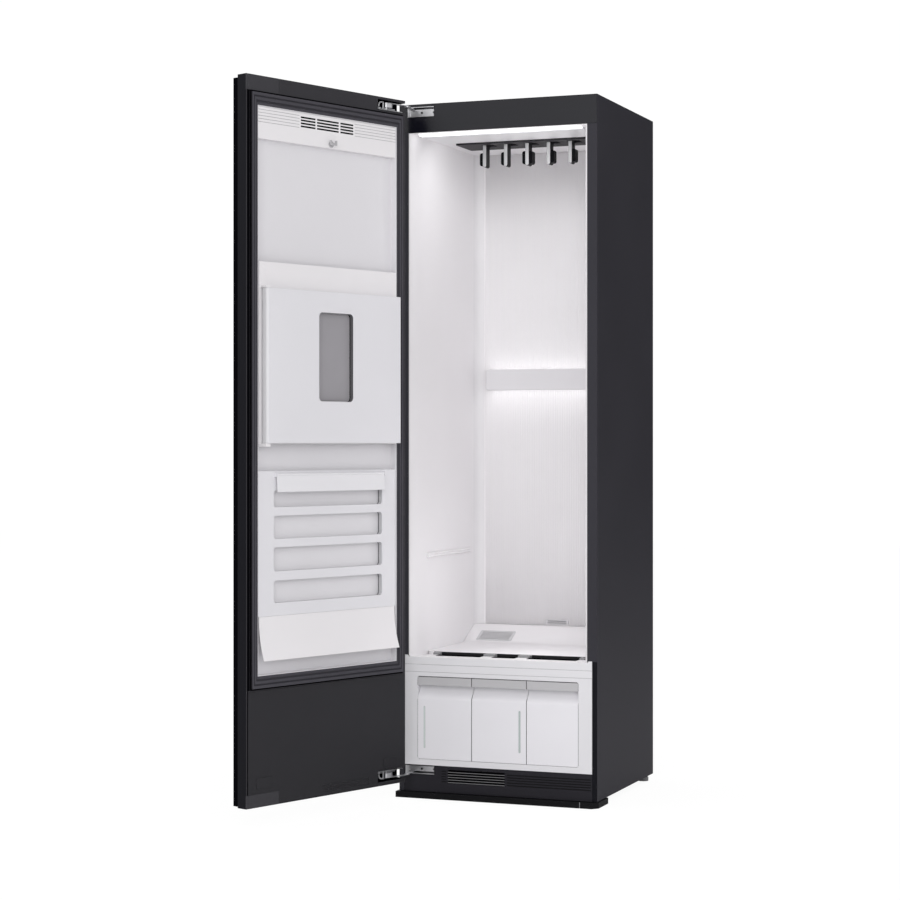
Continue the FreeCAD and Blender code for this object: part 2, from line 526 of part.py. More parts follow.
duct_x, duct_z, BLADES = BLOWER_X - 97, MACH_Z1 - 12, 12
casing = cut(fuse(drum_y(98, 250, 340), box(duct_x, BLOWER_X - 5, 250, 340, BLOWER_Z, duct_z)),
             drum_y(94, 253, 337), drum_y(60, 240, 260),
             box(duct_x + 4, BLOWER_X - 9, 253, 337, BLOWER_Z, duct_z + 1))
casing = fuse(casing, drum_y(45, 337, 400),
              box(BLOWER_X - 25, BLOWER_X + 25, 345, 395, MACH_Z0, BLOWER_Z - 30))
casing = cut(casing, rod_y(BLOWER_X, BLOWER_Z, 330, 380, 6 + RUN))
save("blower_housing", casing)
gap = box(BLOWER_X + 62, BLOWER_X + 90, 262, 322, BLOWER_Z - 6, BLOWER_Z + 6)
hub = V(BLOWER_X, 0, BLOWER_Z)
wheel = cut(drum_y(80, 258, 330), drum_y(70, 257, 327),
            *[gap.rotated(hub, V(0, 1, 0), 360 / BLADES * i) for i in range(BLADES)])
save("blower_wheel", fuse(wheel, rod_y(BLOWER_X, BLOWER_Z, 300, 376, 6),
                          prism_y(polygon(BLOWER_X, BLOWER_Z, 14), 310, 330)))

boil_x, boil_z = -(HALF_W - 35), MACH_Z1 - 126
boiler = fuse(soft_box(boil_x, boil_x + 150, 190, 320, boil_z, boil_z + 92, 10, "z"),
              prism_z(polygon(boil_x + 100, 255, 12, 12), boil_z + 92, MACH_Z1),
              box(boil_x + 150, boil_x + 168, 239, 271, boil_z + 26, boil_z + 58))
boiler = fuse(boiler, *[box(x, x + 10, 200, 290, MACH_Z0, boil_z) for x in (boil_x + 2, boil_x + 138)])
save("steam_generator", boiler)
pumps = [fuse(prism_z(polygon(x, y, 24, 16), 44, 110), box(x - 28, x + 28, y - 28, y + 28, MACH_Z0, 44),
              box(x - 7, x + 7, y - 20, y + 18, 110, 122))
         for x, y in ((boil_x + 55, 219), (boil_x + 100, 277))]
save("water_pumps", Part.makeCompound(pumps))

# ---- hinge linkage -----------------------------------------------------------------------------------
pin_a = (CRANK_X, CRANK_Y)
keep = (CRANK_X - SWING_X, CRANK_Y - SWING_Y)       # from the door pin to the crank pin, always
pin_e = (DOOR_PIN[0] + keep[0], DOOR_PIN[1] + keep[1])
reach = math.hypot(*keep)
knuckle = (DOOR_PIN[0] + keep[0] / reach * 16, DOOR_PIN[1] + keep[1] / reach * 16)


def lift(z, way, a, b):
    return sorted((z + way * a, z + way * b))


def claw(zc, way):
    """A curved retaining claw, drawn in the plane of the door's inner face."""
    cx, cz, line = RECESS_X - 19, zc - way * 9, []
    sweep = [math.radians(90 - 18 * k) for k in range(7)]
    line += [(cx + 12 * math.cos(t), cz + way * 12 * math.sin(t)) for t in sweep]
    line += [(cx + 8 * math.cos(t), cz + way * 8 * math.sin(t)) for t in reversed(sweep)]
    line += [(cx - 10, cz + way * 8), (cx - 10, cz + way * 12)]
    return fuse(prism_y(line, INNER_Y - 6, INNER_Y - 4.5),
                box(cx - 10, cx - 5, INNER_Y - 6, INNER_Y - 4.5, *lift(zc, way, -20, -0.6)))


brackets, cranks, links, plates = [], [], [], []
for zc, way, z0, z1, x0, x1 in HINGES:
    mid = (z0 + z1) / 2 - way * 3
    slot = box(CRANK_X - 7, x1 + 1, -2, 3, *lift(zc, way, -0.5, 5.1))
    face = fuse(box(x0, x1, -1, 1.6, z0, z1), box(x0, x1 - 5, -2.2, -1, z0, z0 + 1.8),
                box(x0, x1 - 5, -2.2, -1, z1 - 1.8, z1))
    face = cut(face, slot, rod_y(-(HALF_W - 69.6), mid, -2, 3, 3.2), rod_y(x1 + 0.6, mid, -3, 3, 3),
               box(x0 + 8, x0 + 12.5, -2, 0.4, *sorted((mid + way * 2.5, mid - way * 8))),
               box(-(HALF_W - 60.5), -(HALF_W - 63), -2, 0.2, mid - 1, mid + 2.5))
    arm = fuse(face, box(x0, x1, 1.6, 50, *lift(zc, way, -3.4, -1.8)),
               box(x0, x1, 1.6, 50, *lift(zc, way, 5.6, 7)),
               box(x0, x1, 50, 52, *lift(zc, way, -3.4, 7)), rod_z(*pin_a, *lift(zc, way, -1.8, 5.6), 4))
    brackets.append(arm)
    crank = cut(bar(pin_a, pin_e, LINK_R, *lift(zc, way, 0, LINK_T)),
                rod_z(*pin_a, *lift(zc, way, -1, 4), 4 + RUN))
    crank = fuse(crank, rod_z(*pin_e, *lift(zc, way, 0, 4.6), 3.5))
    cranks.append(turned(crank, -SWING, *pin_a))
    link = fuse(bar(pin_e, DOOR_PIN, LINK_R, *lift(zc, way, 2.2, 2.2 + LINK_T)),
                bar(knuckle, DOOR_PIN, LINK_R, *lift(zc, way, -9, 2.2 + LINK_T)))
    link = cut(link, *[rod_z(*p, *lift(zc, way, -10, 7), 3.5 + RUN) for p in (pin_e, DOOR_PIN)])
    swung = V(pin_e[0], pin_e[1], 0)
    spot = FreeCAD.Rotation(V(0, 0, 1), -SWING).multVec(swung.sub(V(*pin_a, 0))).add(V(*pin_a, 0))
    link.translate(spot.sub(swung))
    links.append(link)
    px0, px1 = -(HALF_W - 5), RECESS_X - 5
    plate = fuse(box(px0, px1, INNER_Y - 31.6, INNER_Y - 4.5, *lift(zc, way, -20.5, -18)),
                 rod_z(*DOOR_PIN, *lift(zc, way, -18, 4.6), 3.5),
                 prism_z(polygon(*DOOR_PIN, 7), *lift(zc, way, -18, -9.4)),
                 box(px0 + 5, px1 - 5, INNER_Y - 31.6, INNER_Y - 30, *lift(zc, way, -20.5, -8)),
                 claw(zc, way))
    plates.append(plate)
save("hinge_bracket_upper", brackets[0])
save("hinge_bracket_lower", brackets[1])
save("hinge_arms", Part.makeCompound(cranks))
save("hinge_links", Part.makeCompound(links))
save_on_door("hinge_plates", Part.makeCompound(plates))

# ---- door --------------------------------------------------------------------------------------------
recesses = [box(-HALF_W - 1, RECESS_X, INNER_Y - 32, 1, HEIGHT - 37, HEIGHT - 9),
            box(-HALF_W - 1, RECESS_X, INNER_Y - 32, 1, LOW_HINGE_Z - 9, LOW_HINGE_Z + 23)]
CAP_X = HALF_W - 114
caps = [box(CAP_X, HALF_W, INNER_Y - 2, INNER_Y, HEIGHT - 43, DOOR_Z1),
        box(CAP_X, HALF_W, INNER_Y - 2, INNER_Y, DOOR_Z0, DOOR_Z0 + 34.6)]
LOW_X, LOW_Z0, LOW_Z1 = HALF_W - 4, DOOR_Z0 + 2, OPEN_Z0 - 39.6
frame = fuse(box(-HALF_W, HALF_W, FRAME_Y, INNER_Y, DOOR_Z0, DOOR_Z1),
             box(-LOW_X, LOW_X, GLASS_Y1, FRAME_Y, DOOR_Z0 + 6.6, HEIGHT - 12))
frame = cut(frame, box(-PAN_X - TOUCH, PAN_X + TOUCH, PAN_Y - TOUCH, 1, PAN_Z0 - TOUCH, PAN_Z1 + TOUCH),
            box(-PAN_X + 8, PAN_X - 8, GLASS_Y1 - 1, 1, PAN_Z0 + 8, PAN_Z1 - 8),
            box(-LOW_X, LOW_X, INNER_Y - 2, 1, LOW_Z0, LOW_Z1), *caps, *recesses)
save_on_door("door_frame", frame)
save_on_door("door_corner_caps", Part.makeCompound(
    [cut(c, box(HALF_W - 7, HALF_W - 5, INNER_Y - 1, INNER_Y + 1, 0, HEIGHT)) for c in caps]))
glass_z0, glass_z1 = DOOR_Z0 + 3.6, HEIGHT - 9
glass = cut(soft_box(-HALF_W, HALF_W, GLASS_Y0, GLASS_Y1, glass_z0, glass_z1, 3, "z"),
            box(-HALF_W + GLASS_T, HALF_W - GLASS_T, GLASS_Y0 + GLASS_T, 0,
                glass_z0 + GLASS_T, glass_z1 - GLASS_T))
save_on_door("door_glass", glass)


def ring(x0, x1, z0, z1, xi, zi0, zi1, y0, y1):
    return cut(box(x0, x1, y0, y1, z0, z1), box(-xi, xi, y0 - 1, y1 + 1, zi0, zi1))


seal_x = PAN_X + 24.4
seal = fuse(ring(-seal_x, seal_x, OPEN_Z0 - 37, HEAD_Z + 37,
                 PAN_X + 0.4, OPEN_Z0 - 2, HEAD_Z + 1, INNER_Y, -4.5),
            ring(5 - seal_x, seal_x - 5, OPEN_Z0 - 32, HEAD_Z + 32,
                 PAN_X + 5.4, OPEN_Z0 - 8, HEAD_Z + 7, -4.5, -SEAT))
save_on_door("door_gasket", seal)

door_pan = cut(box(-PAN_X, PAN_X, PAN_Y, INNER_Y + 3, PAN_Z0, PAN_Z1),
               box(-PAN_X + 2, PAN_X - 2, PAN_Y + 2, 1, PAN_Z0 + 2, PAN_Z1 - 2))
save_on_door("door_liner", door_pan)
PAN_IN = PAN_Y + 2

duct_z0, duct_z1, duct_hx = HEIGHT - 165, HEIGHT - 81.8, PAN_X - 2.4
duct = cut(box(-duct_hx, duct_hx, PAN_IN, INNER_Y, duct_z0, duct_z1),
           box(-duct_hx + 2.2, duct_hx - 2.2, PAN_IN - 1, INNER_Y - 2, duct_z0 + 2, duct_z1 - 2.2))
duct_rows = [HEIGHT - 122 + 8 * k for k in range(5)]
duct = fuse(duct, *[box(x0, x1, INNER_Y - 0.5, INNER_Y + 0.8, z, z + 1.2) for z in duct_rows
                    for x0, x1 in ((-duct_hx, -97), (108, duct_hx))])
duct = cut(duct, *[box(x0, x1, INNER_Y - 4, 0, z + 3.1, z + 6.1)
                   for x0, x1 in ((-91, -44), (-36, 43), (50, 102)) for z in duct_rows[:-1]])
save_on_door("door_duct_cover", duct)

peg_z = HEIGHT - 154
peg = fuse(rod_y(-8, peg_z, INNER_Y, 4, 4), box(-20, 4, 0, 4, peg_z - 3, peg_z + 1),
           box(-20, -16, 0, 4, peg_z - 3, peg_z + 10), box(0, 4, 0, 4, peg_z - 3, peg_z + 10),
           prism_y(polygon(-8, peg_z, 9, 12), INNER_Y, INNER_Y + 2))
save_on_door("trouser_peg", peg)

ear0, ear1 = PRESS_PIN[0] - 8, PRESS_PIN[0] + 8
back_z1 = PRESS_Z1 + 69
backing = fuse(box(PLATE_X0, PLATE_X1, -10, -4, PRESS_Z0 - 2, back_z1),
               *[box(x, x + 8, PAN_IN, -10, PRESS_Z0 + 3, back_z1 - 10)
                 for x in (PLATE_X0 + 55, PLATE_X1 - 63)],
               *[prism_y(polygon(x, back_z1 - 13, 6), -4, -3) for x in (PLATE_X0 + 14, PLATE_X1 - 14)],
               box(ear0, ear1, -4, 18, PRESS_Z0 - 9, PRESS_Z0 - 0.4),
               box(ear0, ear1, -10, -4, PRESS_Z0 - 9, PRESS_Z0 - 1),
               box(ear0, ear1, -4, 18, PRESS_Z1 + 0.4, PRESS_Z1 + 6),
               rod_z(*PRESS_PIN, PRESS_Z0 - 1, PRESS_Z0 + 10, 3),
               rod_z(*PRESS_PIN, PRESS_Z1 - 10, PRESS_Z1 + 1, 3))
save_on_door("press_backing_plate", backing)

win_z0, win_z1 = PRESS_Z0 + 111, PRESS_Z1 - 56
press = soft_box(-PRESS_X, PRESS_X, 0, 22, PRESS_Z0, PRESS_Z1, 6, "z")
press = cut(press, rod_z(*PRESS_PIN, PRESS_Z0 - 1, PRESS_Z0 + 10.4, 3 + RUN),
            rod_z(*PRESS_PIN, PRESS_Z1 - 10.4, PRESS_Z1 + 1, 3 + RUN),
            round_slot(-63.5, 63.5, win_z0, win_z1, 12, 18, 23))
save_on_door("press_panel", press)
save_on_door("press_window", round_slot(-63.3, 63.3, win_z0 + 0.2, win_z1 - 0.2, 11.8, 18, 20))

rack = box(PLATE_X0, PLATE_X1, INNER_Y - 2.5, INNER_Y, RACK_Z0, RACK_Z1)
rack = cut(rack, *[round_slot(FLAP_X0, PLATE_X1 - 54, RACK_Z1 - a, RACK_Z1 - b, 8, INNER_Y - 3, INNER_Y + 1)
                   for a, b in ((95, 50), (178, 117), (263, 200), (346, 287))])
rack = fuse(rack, *[box(x - 6, x + 6, PAN_IN, INNER_Y - 2.5, z - 6, z + 6)
                    for x in (PLATE_X0 + 25, PLATE_X1 - 25)
                    for z in (RACK_Z0 + 15, RACK_Z0 + 190, RACK_Z1 - 14)])
for x0, x1, p0, p1 in ((FLAP_X0 - 3.4, FLAP_X0 - 0.6, FLAP_X0 - 1, FLAP_X0 + 7),
                       (FLAP_X1 + 0.6, FLAP_X1 + 3.4, FLAP_X1 - 7, FLAP_X1 + 1)):
    rack = fuse(rack, box(x0, x1, INNER_Y, 1, RACK_Z1 - 16, RACK_Z1 - 4), rod_x(*FLAP_PIN, p0, p1, 2))
save_on_door("trouser_rack", rack)

fy, fz = FLAP_PIN
flap = fuse(rod_x(fy, fz, FLAP_X0, FLAP_X1, 4),
            prism_x([(fy - 1, fz - 2), (fy + 2, fz), (fy + 5, fz - 45), (fy + 2.5, fz - 45.6)],
                    FLAP_X0, FLAP_X1))
flap = cut(flap, rod_x(fy, fz, FLAP_X0 - 1, FLAP_X0 + 7.4, 2 + RUN),
           rod_x(fy, fz, FLAP_X1 - 7.4, FLAP_X1 + 1, 2 + RUN))
save_on_door("rack_flap", flap)

drip_z, DRIP_H = RACK_Z0 - TOUCH, 113.8
curve = [(INNER_Y + 20 * (k / 10) ** 2.2, drip_z - DRIP_H * k / 10) for k in range(11)]
guide = prism_x(curve + [(y - 2.2, z - 0.8) for y, z in reversed(curve)], PLATE_X0 + 3, PLATE_X1 - 3)
guide = fuse(guide, *[box(x, x + 3, PAN_IN, INNER_Y - 1, drip_z - 45, drip_z - 1) for x in (-200, 0, 197)])
save_on_door("drip_guide", guide)

low = cut(box(-LOW_X, LOW_X, INNER_Y - 2, INNER_Y, LOW_Z0, LOW_Z1),
          box(CAP_X - 0.3, HALF_W + 5, INNER_Y - 3, INNER_Y + 1, DOOR_Z0 - 5, DOOR_Z0 + 34.9), *recesses,
          *[box(-151, 21, INNER_Y - 3, INNER_Y + 1, DOOR_Z0 + 10.1 + 5.8 * i, DOOR_Z0 + 13.1 + 5.8 * i)
            for i in range(4)])
save_on_door("door_lower_panel", low)
plugs = [round_slot(HALF_W - 95, HALF_W - 35, 103, 132, 4, INNER_Y, INNER_Y + 1.4),
         round_slot(-HALF_W + 30, -HALF_W + 85, 104, 130, 4, INNER_Y, INNER_Y + 1.4)]
save_on_door("door_panel_plugs", Part.makeCompound(plugs))
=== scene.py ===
# %% [markdown]
# # Dressing a clothes care steam cabinet
# The CAD frame already stands in the room: every panel, tank and hinge is a node at its real
# size. This script gives each of them the finish of the real product, and models again, by the
# usual mesh tools, the pieces whose look lives in small curves, seams and ribs.

# %% Load the frame
import json
import math

import bmesh
import bpy
from mathutils import Matrix, Vector


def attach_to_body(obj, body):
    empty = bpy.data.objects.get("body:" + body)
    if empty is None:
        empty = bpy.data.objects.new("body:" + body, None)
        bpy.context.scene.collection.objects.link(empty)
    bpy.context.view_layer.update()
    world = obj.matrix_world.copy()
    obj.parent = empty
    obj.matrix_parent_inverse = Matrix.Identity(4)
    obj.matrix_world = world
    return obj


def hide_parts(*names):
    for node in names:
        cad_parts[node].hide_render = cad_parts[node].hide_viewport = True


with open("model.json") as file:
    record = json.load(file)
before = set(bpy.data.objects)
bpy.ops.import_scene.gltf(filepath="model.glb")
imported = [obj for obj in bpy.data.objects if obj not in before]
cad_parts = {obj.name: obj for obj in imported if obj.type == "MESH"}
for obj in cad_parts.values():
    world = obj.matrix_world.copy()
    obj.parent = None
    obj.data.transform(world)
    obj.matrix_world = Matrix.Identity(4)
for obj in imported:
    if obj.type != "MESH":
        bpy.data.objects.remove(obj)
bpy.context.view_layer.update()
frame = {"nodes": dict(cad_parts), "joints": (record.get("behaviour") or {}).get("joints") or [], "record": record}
nodes = frame["nodes"]
body_of_node = {n: b for b, ns in frame["record"]["behaviour"]["bodies"].items() for n in ns}
slot_of_node = {s["node"]: s["material_slot"] for s in frame["record"]["subparts"]}
bpy.ops.object.select_all(action="DESELECT")

# %% [markdown]
# ## Camera
# The camera is level and looks from the right, well off the cabinet's own axis, with the frame
# shifted sideways as a shift lens does, so uprights stay upright.

# %% Camera
lens = bpy.data.cameras.new("camera")
lens.sensor_width, lens.lens = 36.0, 83.91
lens.shift_x, lens.shift_y = -0.0778, -0.0082
lens.clip_end = 60.0
camera = bpy.data.objects.new("camera", lens)
camera.location = (2.0825, -5.4664, 1.0035)
camera.rotation_euler = (math.radians(90), 0, math.radians(20.215))
bpy.context.scene.collection.objects.link(camera)
bpy.context.scene.camera = camera
bpy.context.scene.view_settings.view_transform = "Standard"
print("lens, mm:", round(lens.lens, 2))

# %% [markdown]
# ## Room
# A white studio: the world lights everything evenly, so each colour renders about as written.
# The camera, mirrors and glass see a brighter white than the one that gives the light. The floor
# is white paper that glows for the camera and keeps a faint shadow.


# %% World
def fresh_nodes(tree, *kinds):
    """Empty a node tree and give it new nodes of these kinds."""
    tree.nodes.clear()
    return [tree.nodes.new("ShaderNode" + kind) for kind in kinds]


SEEN_STRENGTH, LIT_STRENGTH = 1.02, 0.64
world = bpy.data.worlds.new("studio")
bpy.context.scene.world = world
world.use_nodes = True
tree = world.node_tree
out, mix, seen, lit, path, either, both = fresh_nodes(
    tree, "OutputWorld", "MixShader", "Background", "Background", "LightPath", "Math", "Math")
either.operation = both.operation = "MAXIMUM"
seen.inputs["Color"].default_value = (1, 1, 1, 1)
seen.inputs["Strength"].default_value = SEEN_STRENGTH
lit.inputs["Color"].default_value = (1, 0.99, 1, 1)
lit.inputs["Strength"].default_value = LIT_STRENGTH
tree.links.new(path.outputs["Is Camera Ray"], either.inputs[0])
tree.links.new(path.outputs["Is Glossy Ray"], either.inputs[1])
tree.links.new(either.outputs[0], both.inputs[0])
tree.links.new(path.outputs["Is Transmission Ray"], both.inputs[1])
tree.links.new(both.outputs[0], mix.inputs[0])
tree.links.new(lit.outputs[0], mix.inputs[1])
tree.links.new(seen.outputs[0], mix.inputs[2])
tree.links.new(mix.outputs[0], out.inputs["Surface"])
print("world nodes:", len(tree.nodes))

# %% Floor
PAPER_GLOW, GLOW_SHARE = 1.06, 0.88
bpy.ops.mesh.primitive_plane_add(size=30, location=(0, 0, -0.0005))
floor = bpy.context.object
floor.name = "studio_floor"
paper = bpy.data.materials.new("studio_paper")
paper.use_nodes = True
tree = paper.node_tree
out, mix, matte, glow, path, share = fresh_nodes(
    tree, "OutputMaterial", "MixShader", "BsdfDiffuse", "Emission", "LightPath", "Math")
matte.inputs["Color"].default_value = (0.93, 0.93, 0.93, 1)
glow.inputs["Strength"].default_value = PAPER_GLOW
share.operation = "MULTIPLY"
share.inputs[1].default_value = GLOW_SHARE
tree.links.new(path.outputs["Is Camera Ray"], share.inputs[0])
tree.links.new(share.outputs[0], mix.inputs[0])
tree.links.new(matte.outputs[0], mix.inputs[1])
tree.links.new(glow.outputs[0], mix.inputs[2])
tree.links.new(mix.outputs[0], out.inputs["Surface"])
floor.data.materials.append(paper)
print("floor nodes:", len(tree.nodes))

# %% [markdown]
# ## Lamps
# Three large soft lamps outside give the fronts a little shape. Inside the chamber the light bar
# washes the back wall above and below it, and white walls hand light on between them many more
# times than a render follows it. Small lamps that are never seen themselves stand for both.


# %% Lamps outside
def add_lamp(name, kind, place, power, facing=None, seen=True):
    """A lamp at a place, turned to face a direction; returns its settings."""
    lamp = bpy.data.lights.new(name, kind)
    lamp.energy = power
    holder = bpy.data.objects.new(name, lamp)
    holder.location = place
    if facing is not None:
        holder.rotation_euler = Vector(facing).to_track_quat("-Z", "Y").to_euler()
    if not seen:
        holder.visible_camera = holder.visible_glossy = False
    bpy.context.scene.collection.objects.link(holder)
    return lamp


SOFT_LAMPS = (  # name, place, the point it faces, size, power
    ("front_lamp", (0.9, -4.4, 2.6), (0, 0, 1.0), 2.6, 52),
    ("left_lamp", (-3.6, -2.6, 2.2), (0, 0, 1.0), 2.4, 22),
    ("low_right_lamp", (2.4, -3.2, 1.7), (-0.2, 0.2, 1.2), 1.8, 14),
)
for name, place, point, size, power in SOFT_LAMPS:
    lamp = add_lamp(name, "AREA", place, power, Vector(point) - Vector(place))
    lamp.shape, lamp.size = "SQUARE", size
print("soft lamps:", len(SOFT_LAMPS))

# %% Lamps in the chamber
STRIP_LAMPS = (  # name, place, direction, length, depth, power
    ("bar_glow_up", (0, 0.470, 1.230), (0, 0.55, 1), 0.42, 0.016, 0.027),
    ("bar_glow_down", (0, 0.470, 1.157), (0, 0.55, -1), 0.42, 0.016, 0.030),
    ("bar_haze_up", (0, 0.440, 1.27), (0, 0.6, 1), 0.44, 0.05, 0.010),
    ("bar_haze_down", (0, 0.440, 1.12), (0, 0.6, -1), 0.44, 0.05, 0.016),
    ("ceiling_glow", (0, 0.10, 1.862), (0, 0.6, -1), 0.34, 0.12, 0.50),
)
FILL_RADIUS = 0.08
FILL_LAMPS = (  # name, place, power
    ("upper_fill", (0.05, 0.10, 1.75), 0.46),
    ("middle_fill", (0.10, 0.00, 0.98), 0.20),
    ("lower_fill", (0.06, 0.11, 0.61), 0.82),
)
for name, place, facing, length, depth, power in STRIP_LAMPS:
    lamp = add_lamp(name, "AREA", place, power, facing, seen=False)
    lamp.shape, lamp.size, lamp.size_y = "RECTANGLE", length, depth
for name, place, power in FILL_LAMPS:
    add_lamp(name, "POINT", place, power, seen=False).shadow_soft_size = FILL_RADIUS
print("chamber lamps:", len(STRIP_LAMPS) + len(FILL_LAMPS))

# %% [markdown]
# ## Black cards
# Dark glossy panels look dark only if they mirror something dark. A studio stands black cards
# beside the object for that. These two are seen in reflections alone: they throw no shadow, take
# no light away, and the camera looks through them.


# %% Cards
def black_card(name, place, aim, width, height):
    """A black board that only reflections see."""
    bpy.ops.object.select_all(action="DESELECT")
    bpy.ops.mesh.primitive_plane_add(size=1, location=place)
    card = bpy.context.object
    card.name = name
    card.scale = (width, height, 1)
    card.rotation_euler = (Vector(aim) - Vector(place)).to_track_quat("Z", "Y").to_euler()
    soot = bpy.data.materials.new(name)
    soot.use_nodes = True
    skin = soot.node_tree.nodes["Principled BSDF"]
    skin.inputs["Base Color"].default_value = (0.003, 0.003, 0.003, 1)
    skin.inputs["Specular IOR Level"].default_value = 0
    card.data.materials.append(soot)
    card.visible_camera = card.visible_diffuse = False
    card.visible_shadow = card.visible_transmission = False


black_card("card_behind_right", (2.6, 4.2, 0.2), (0.3, 0.3, 1.0), 9.0, 9.0)
black_card("card_left", (-4.6, -2.2, 1.2), (0, -0.3, 1.0), 4.0, 5.0)
print("cards: 2")

# %% [markdown]
# ## Finishes
# Nearly all of the cabinet is coated sheet or moulded plastic. Such a surface is never quite
# flat in colour: a fine grain breaks the highlight, and the roughness drifts a little across it.
# One helper builds that from noise, and each finish only gives its own numbers.

# %% The finish helper
CLOUD_SCALE, CLOUD_DETAIL, CLOUD_RAMP = 3.0, 3.0, (0.35, 0.65)
GRAIN_DETAIL, GRAIN_HEIGHT = 2.0, 0.0004
DRIFT, SMOOTHEST = 0.03, 0.02


def finish(name, colour, rough, metal=0.0, grain=0.0, grain_size=900.0, tone=0.04,
           specular=0.5, coat=0.0, coat_rough=0.1, stretch=(1, 1, 1)):
    """A principled surface whose colour, roughness and fine relief come from noise."""
    mat = bpy.data.materials.new(name)
    mat.use_nodes = True
    tree = mat.node_tree
    skin = tree.nodes["Principled BSDF"]
    skin.inputs["Metallic"].default_value = metal
    skin.inputs["Specular IOR Level"].default_value = specular
    skin.inputs["Coat Weight"].default_value = coat
    skin.inputs["Coat Roughness"].default_value = coat_rough
    where = tree.nodes.new("ShaderNodeTexCoord")
    scale = tree.nodes.new("ShaderNodeMapping")
    scale.inputs["Scale"].default_value = stretch
    tree.links.new(where.outputs["Object"], scale.inputs["Vector"])
    cloud = tree.nodes.new("ShaderNodeTexNoise")
    cloud.inputs["Scale"].default_value = CLOUD_SCALE
    cloud.inputs["Detail"].default_value = CLOUD_DETAIL
    tree.links.new(scale.outputs[0], cloud.inputs["Vector"])
    shade = tree.nodes.new("ShaderNodeValToRGB")
    ends = shade.color_ramp.elements
    ends[0].position, ends[1].position = CLOUD_RAMP
    ends[0].color = (*[c * (1 - tone) for c in colour], 1)
    ends[1].color = (*[min(1, c * (1 + tone)) for c in colour], 1)
    tree.links.new(cloud.outputs["Fac"], shade.inputs["Fac"])
    tree.links.new(shade.outputs["Color"], skin.inputs["Base Color"])
    sheen = tree.nodes.new("ShaderNodeMapRange")
    sheen.inputs["To Min"].default_value = max(SMOOTHEST, rough - DRIFT)
    sheen.inputs["To Max"].default_value = rough + DRIFT
    tree.links.new(cloud.outputs["Fac"], sheen.inputs["Value"])
    tree.links.new(sheen.outputs[0], skin.inputs["Roughness"])
    if grain:
        speck = tree.nodes.new("ShaderNodeTexNoise")
        speck.inputs["Scale"].default_value = grain_size
        speck.inputs["Detail"].default_value = GRAIN_DETAIL
        relief = tree.nodes.new("ShaderNodeBump")
        relief.inputs["Strength"].default_value = grain
        relief.inputs["Distance"].default_value = GRAIN_HEIGHT
        tree.links.new(scale.outputs[0], speck.inputs["Vector"])
        tree.links.new(speck.outputs["Fac"], relief.inputs["Height"])
        tree.links.new(relief.outputs["Normal"], skin.inputs["Normal"])
    return mat


def light_source(name, strength):
    """A lit diffuser: white plastic that also gives light."""
    mat = finish(name, (0.95, 0.95, 0.96), 0.4)
    skin = mat.node_tree.nodes["Principled BSDF"]
    skin.inputs["Emission Color"].default_value = (1, 1, 1, 1)
    skin.inputs["Emission Strength"].default_value = strength
    return mat


# %% A finish for each material slot
paints = {
    "shell_dark": finish("charcoal_coated_steel", (0.0360, 0.0350, 0.043), 0.55, grain=0.2,
                         specular=0.15),
    "header_dark": finish("charcoal_header", (0.004, 0.004, 0.008), 0.20, grain=0.05,
                          specular=0.45),
    "black_plastic": finish("black_moulding", (0.010, 0.010, 0.012), 0.46, grain=0.3,
                            specular=0.25),
    "foot_black": finish("black_foot_bar", (0.005, 0.005, 0.006), 0.5, grain=0.2, specular=0.12),
    "foot_grey": finish("grey_foot", (0.20, 0.20, 0.21), 0.5, grain=0.3),
    "white_plastic": finish("white_moulding", (0.81, 0.805, 0.83), 0.38, grain=0.12, tone=0.012),
    "white_liner": finish("white_liner", (0.84, 0.825, 0.84), 0.48, grain=0.12, tone=0.012),
    "light_grey": finish("pale_grey_moulding", (0.52, 0.52, 0.535), 0.42, grain=0.2, tone=0.02),
    "mid_grey": finish("grey_moulding", (0.30, 0.30, 0.31), 0.45, grain=0.2),
    "lamp_white": light_source("lit_diffuser", 1.3),
    "brushed_panel": finish("brushed_aluminium", (0.80, 0.80, 0.81), 0.36, metal=0.5, grain=0.5,
                            grain_size=300, stretch=(0.03, 1, 1)),
    "chrome": finish("satin_chrome", (0.60, 0.60, 0.62), 0.30, metal=1.0, tone=0.03),
    "galvanised": finish("zinc_coated_sheet", (0.42, 0.43, 0.44), 0.42, metal=0.7, grain=0.3,
                         grain_size=160),
    "door_dark": finish("dark_door_moulding", (0.018, 0.0175, 0.021), 0.5, grain=0.25,
                        specular=0.28),
    "front_glass": finish("dark_mirror_glass", (0.003, 0.003, 0.004), 0.08, coat=0.4,
                          coat_rough=0.03),
    "seal_grey": finish("dark_door_seal", (0.060, 0.058, 0.069), 0.55, grain=0.25, specular=0.2),
    "machine_black": finish("black_compressor_paint", (0.014, 0.014, 0.015), 0.35, grain=0.3),
    "fins": finish("plain_aluminium", (0.60, 0.61, 0.62), 0.4, metal=0.9, grain=0.3),
    "motor_grey": finish("grey_machine_plastic", (0.12, 0.12, 0.125), 0.5, grain=0.3),
}
print("finishes by slot:", len(paints))

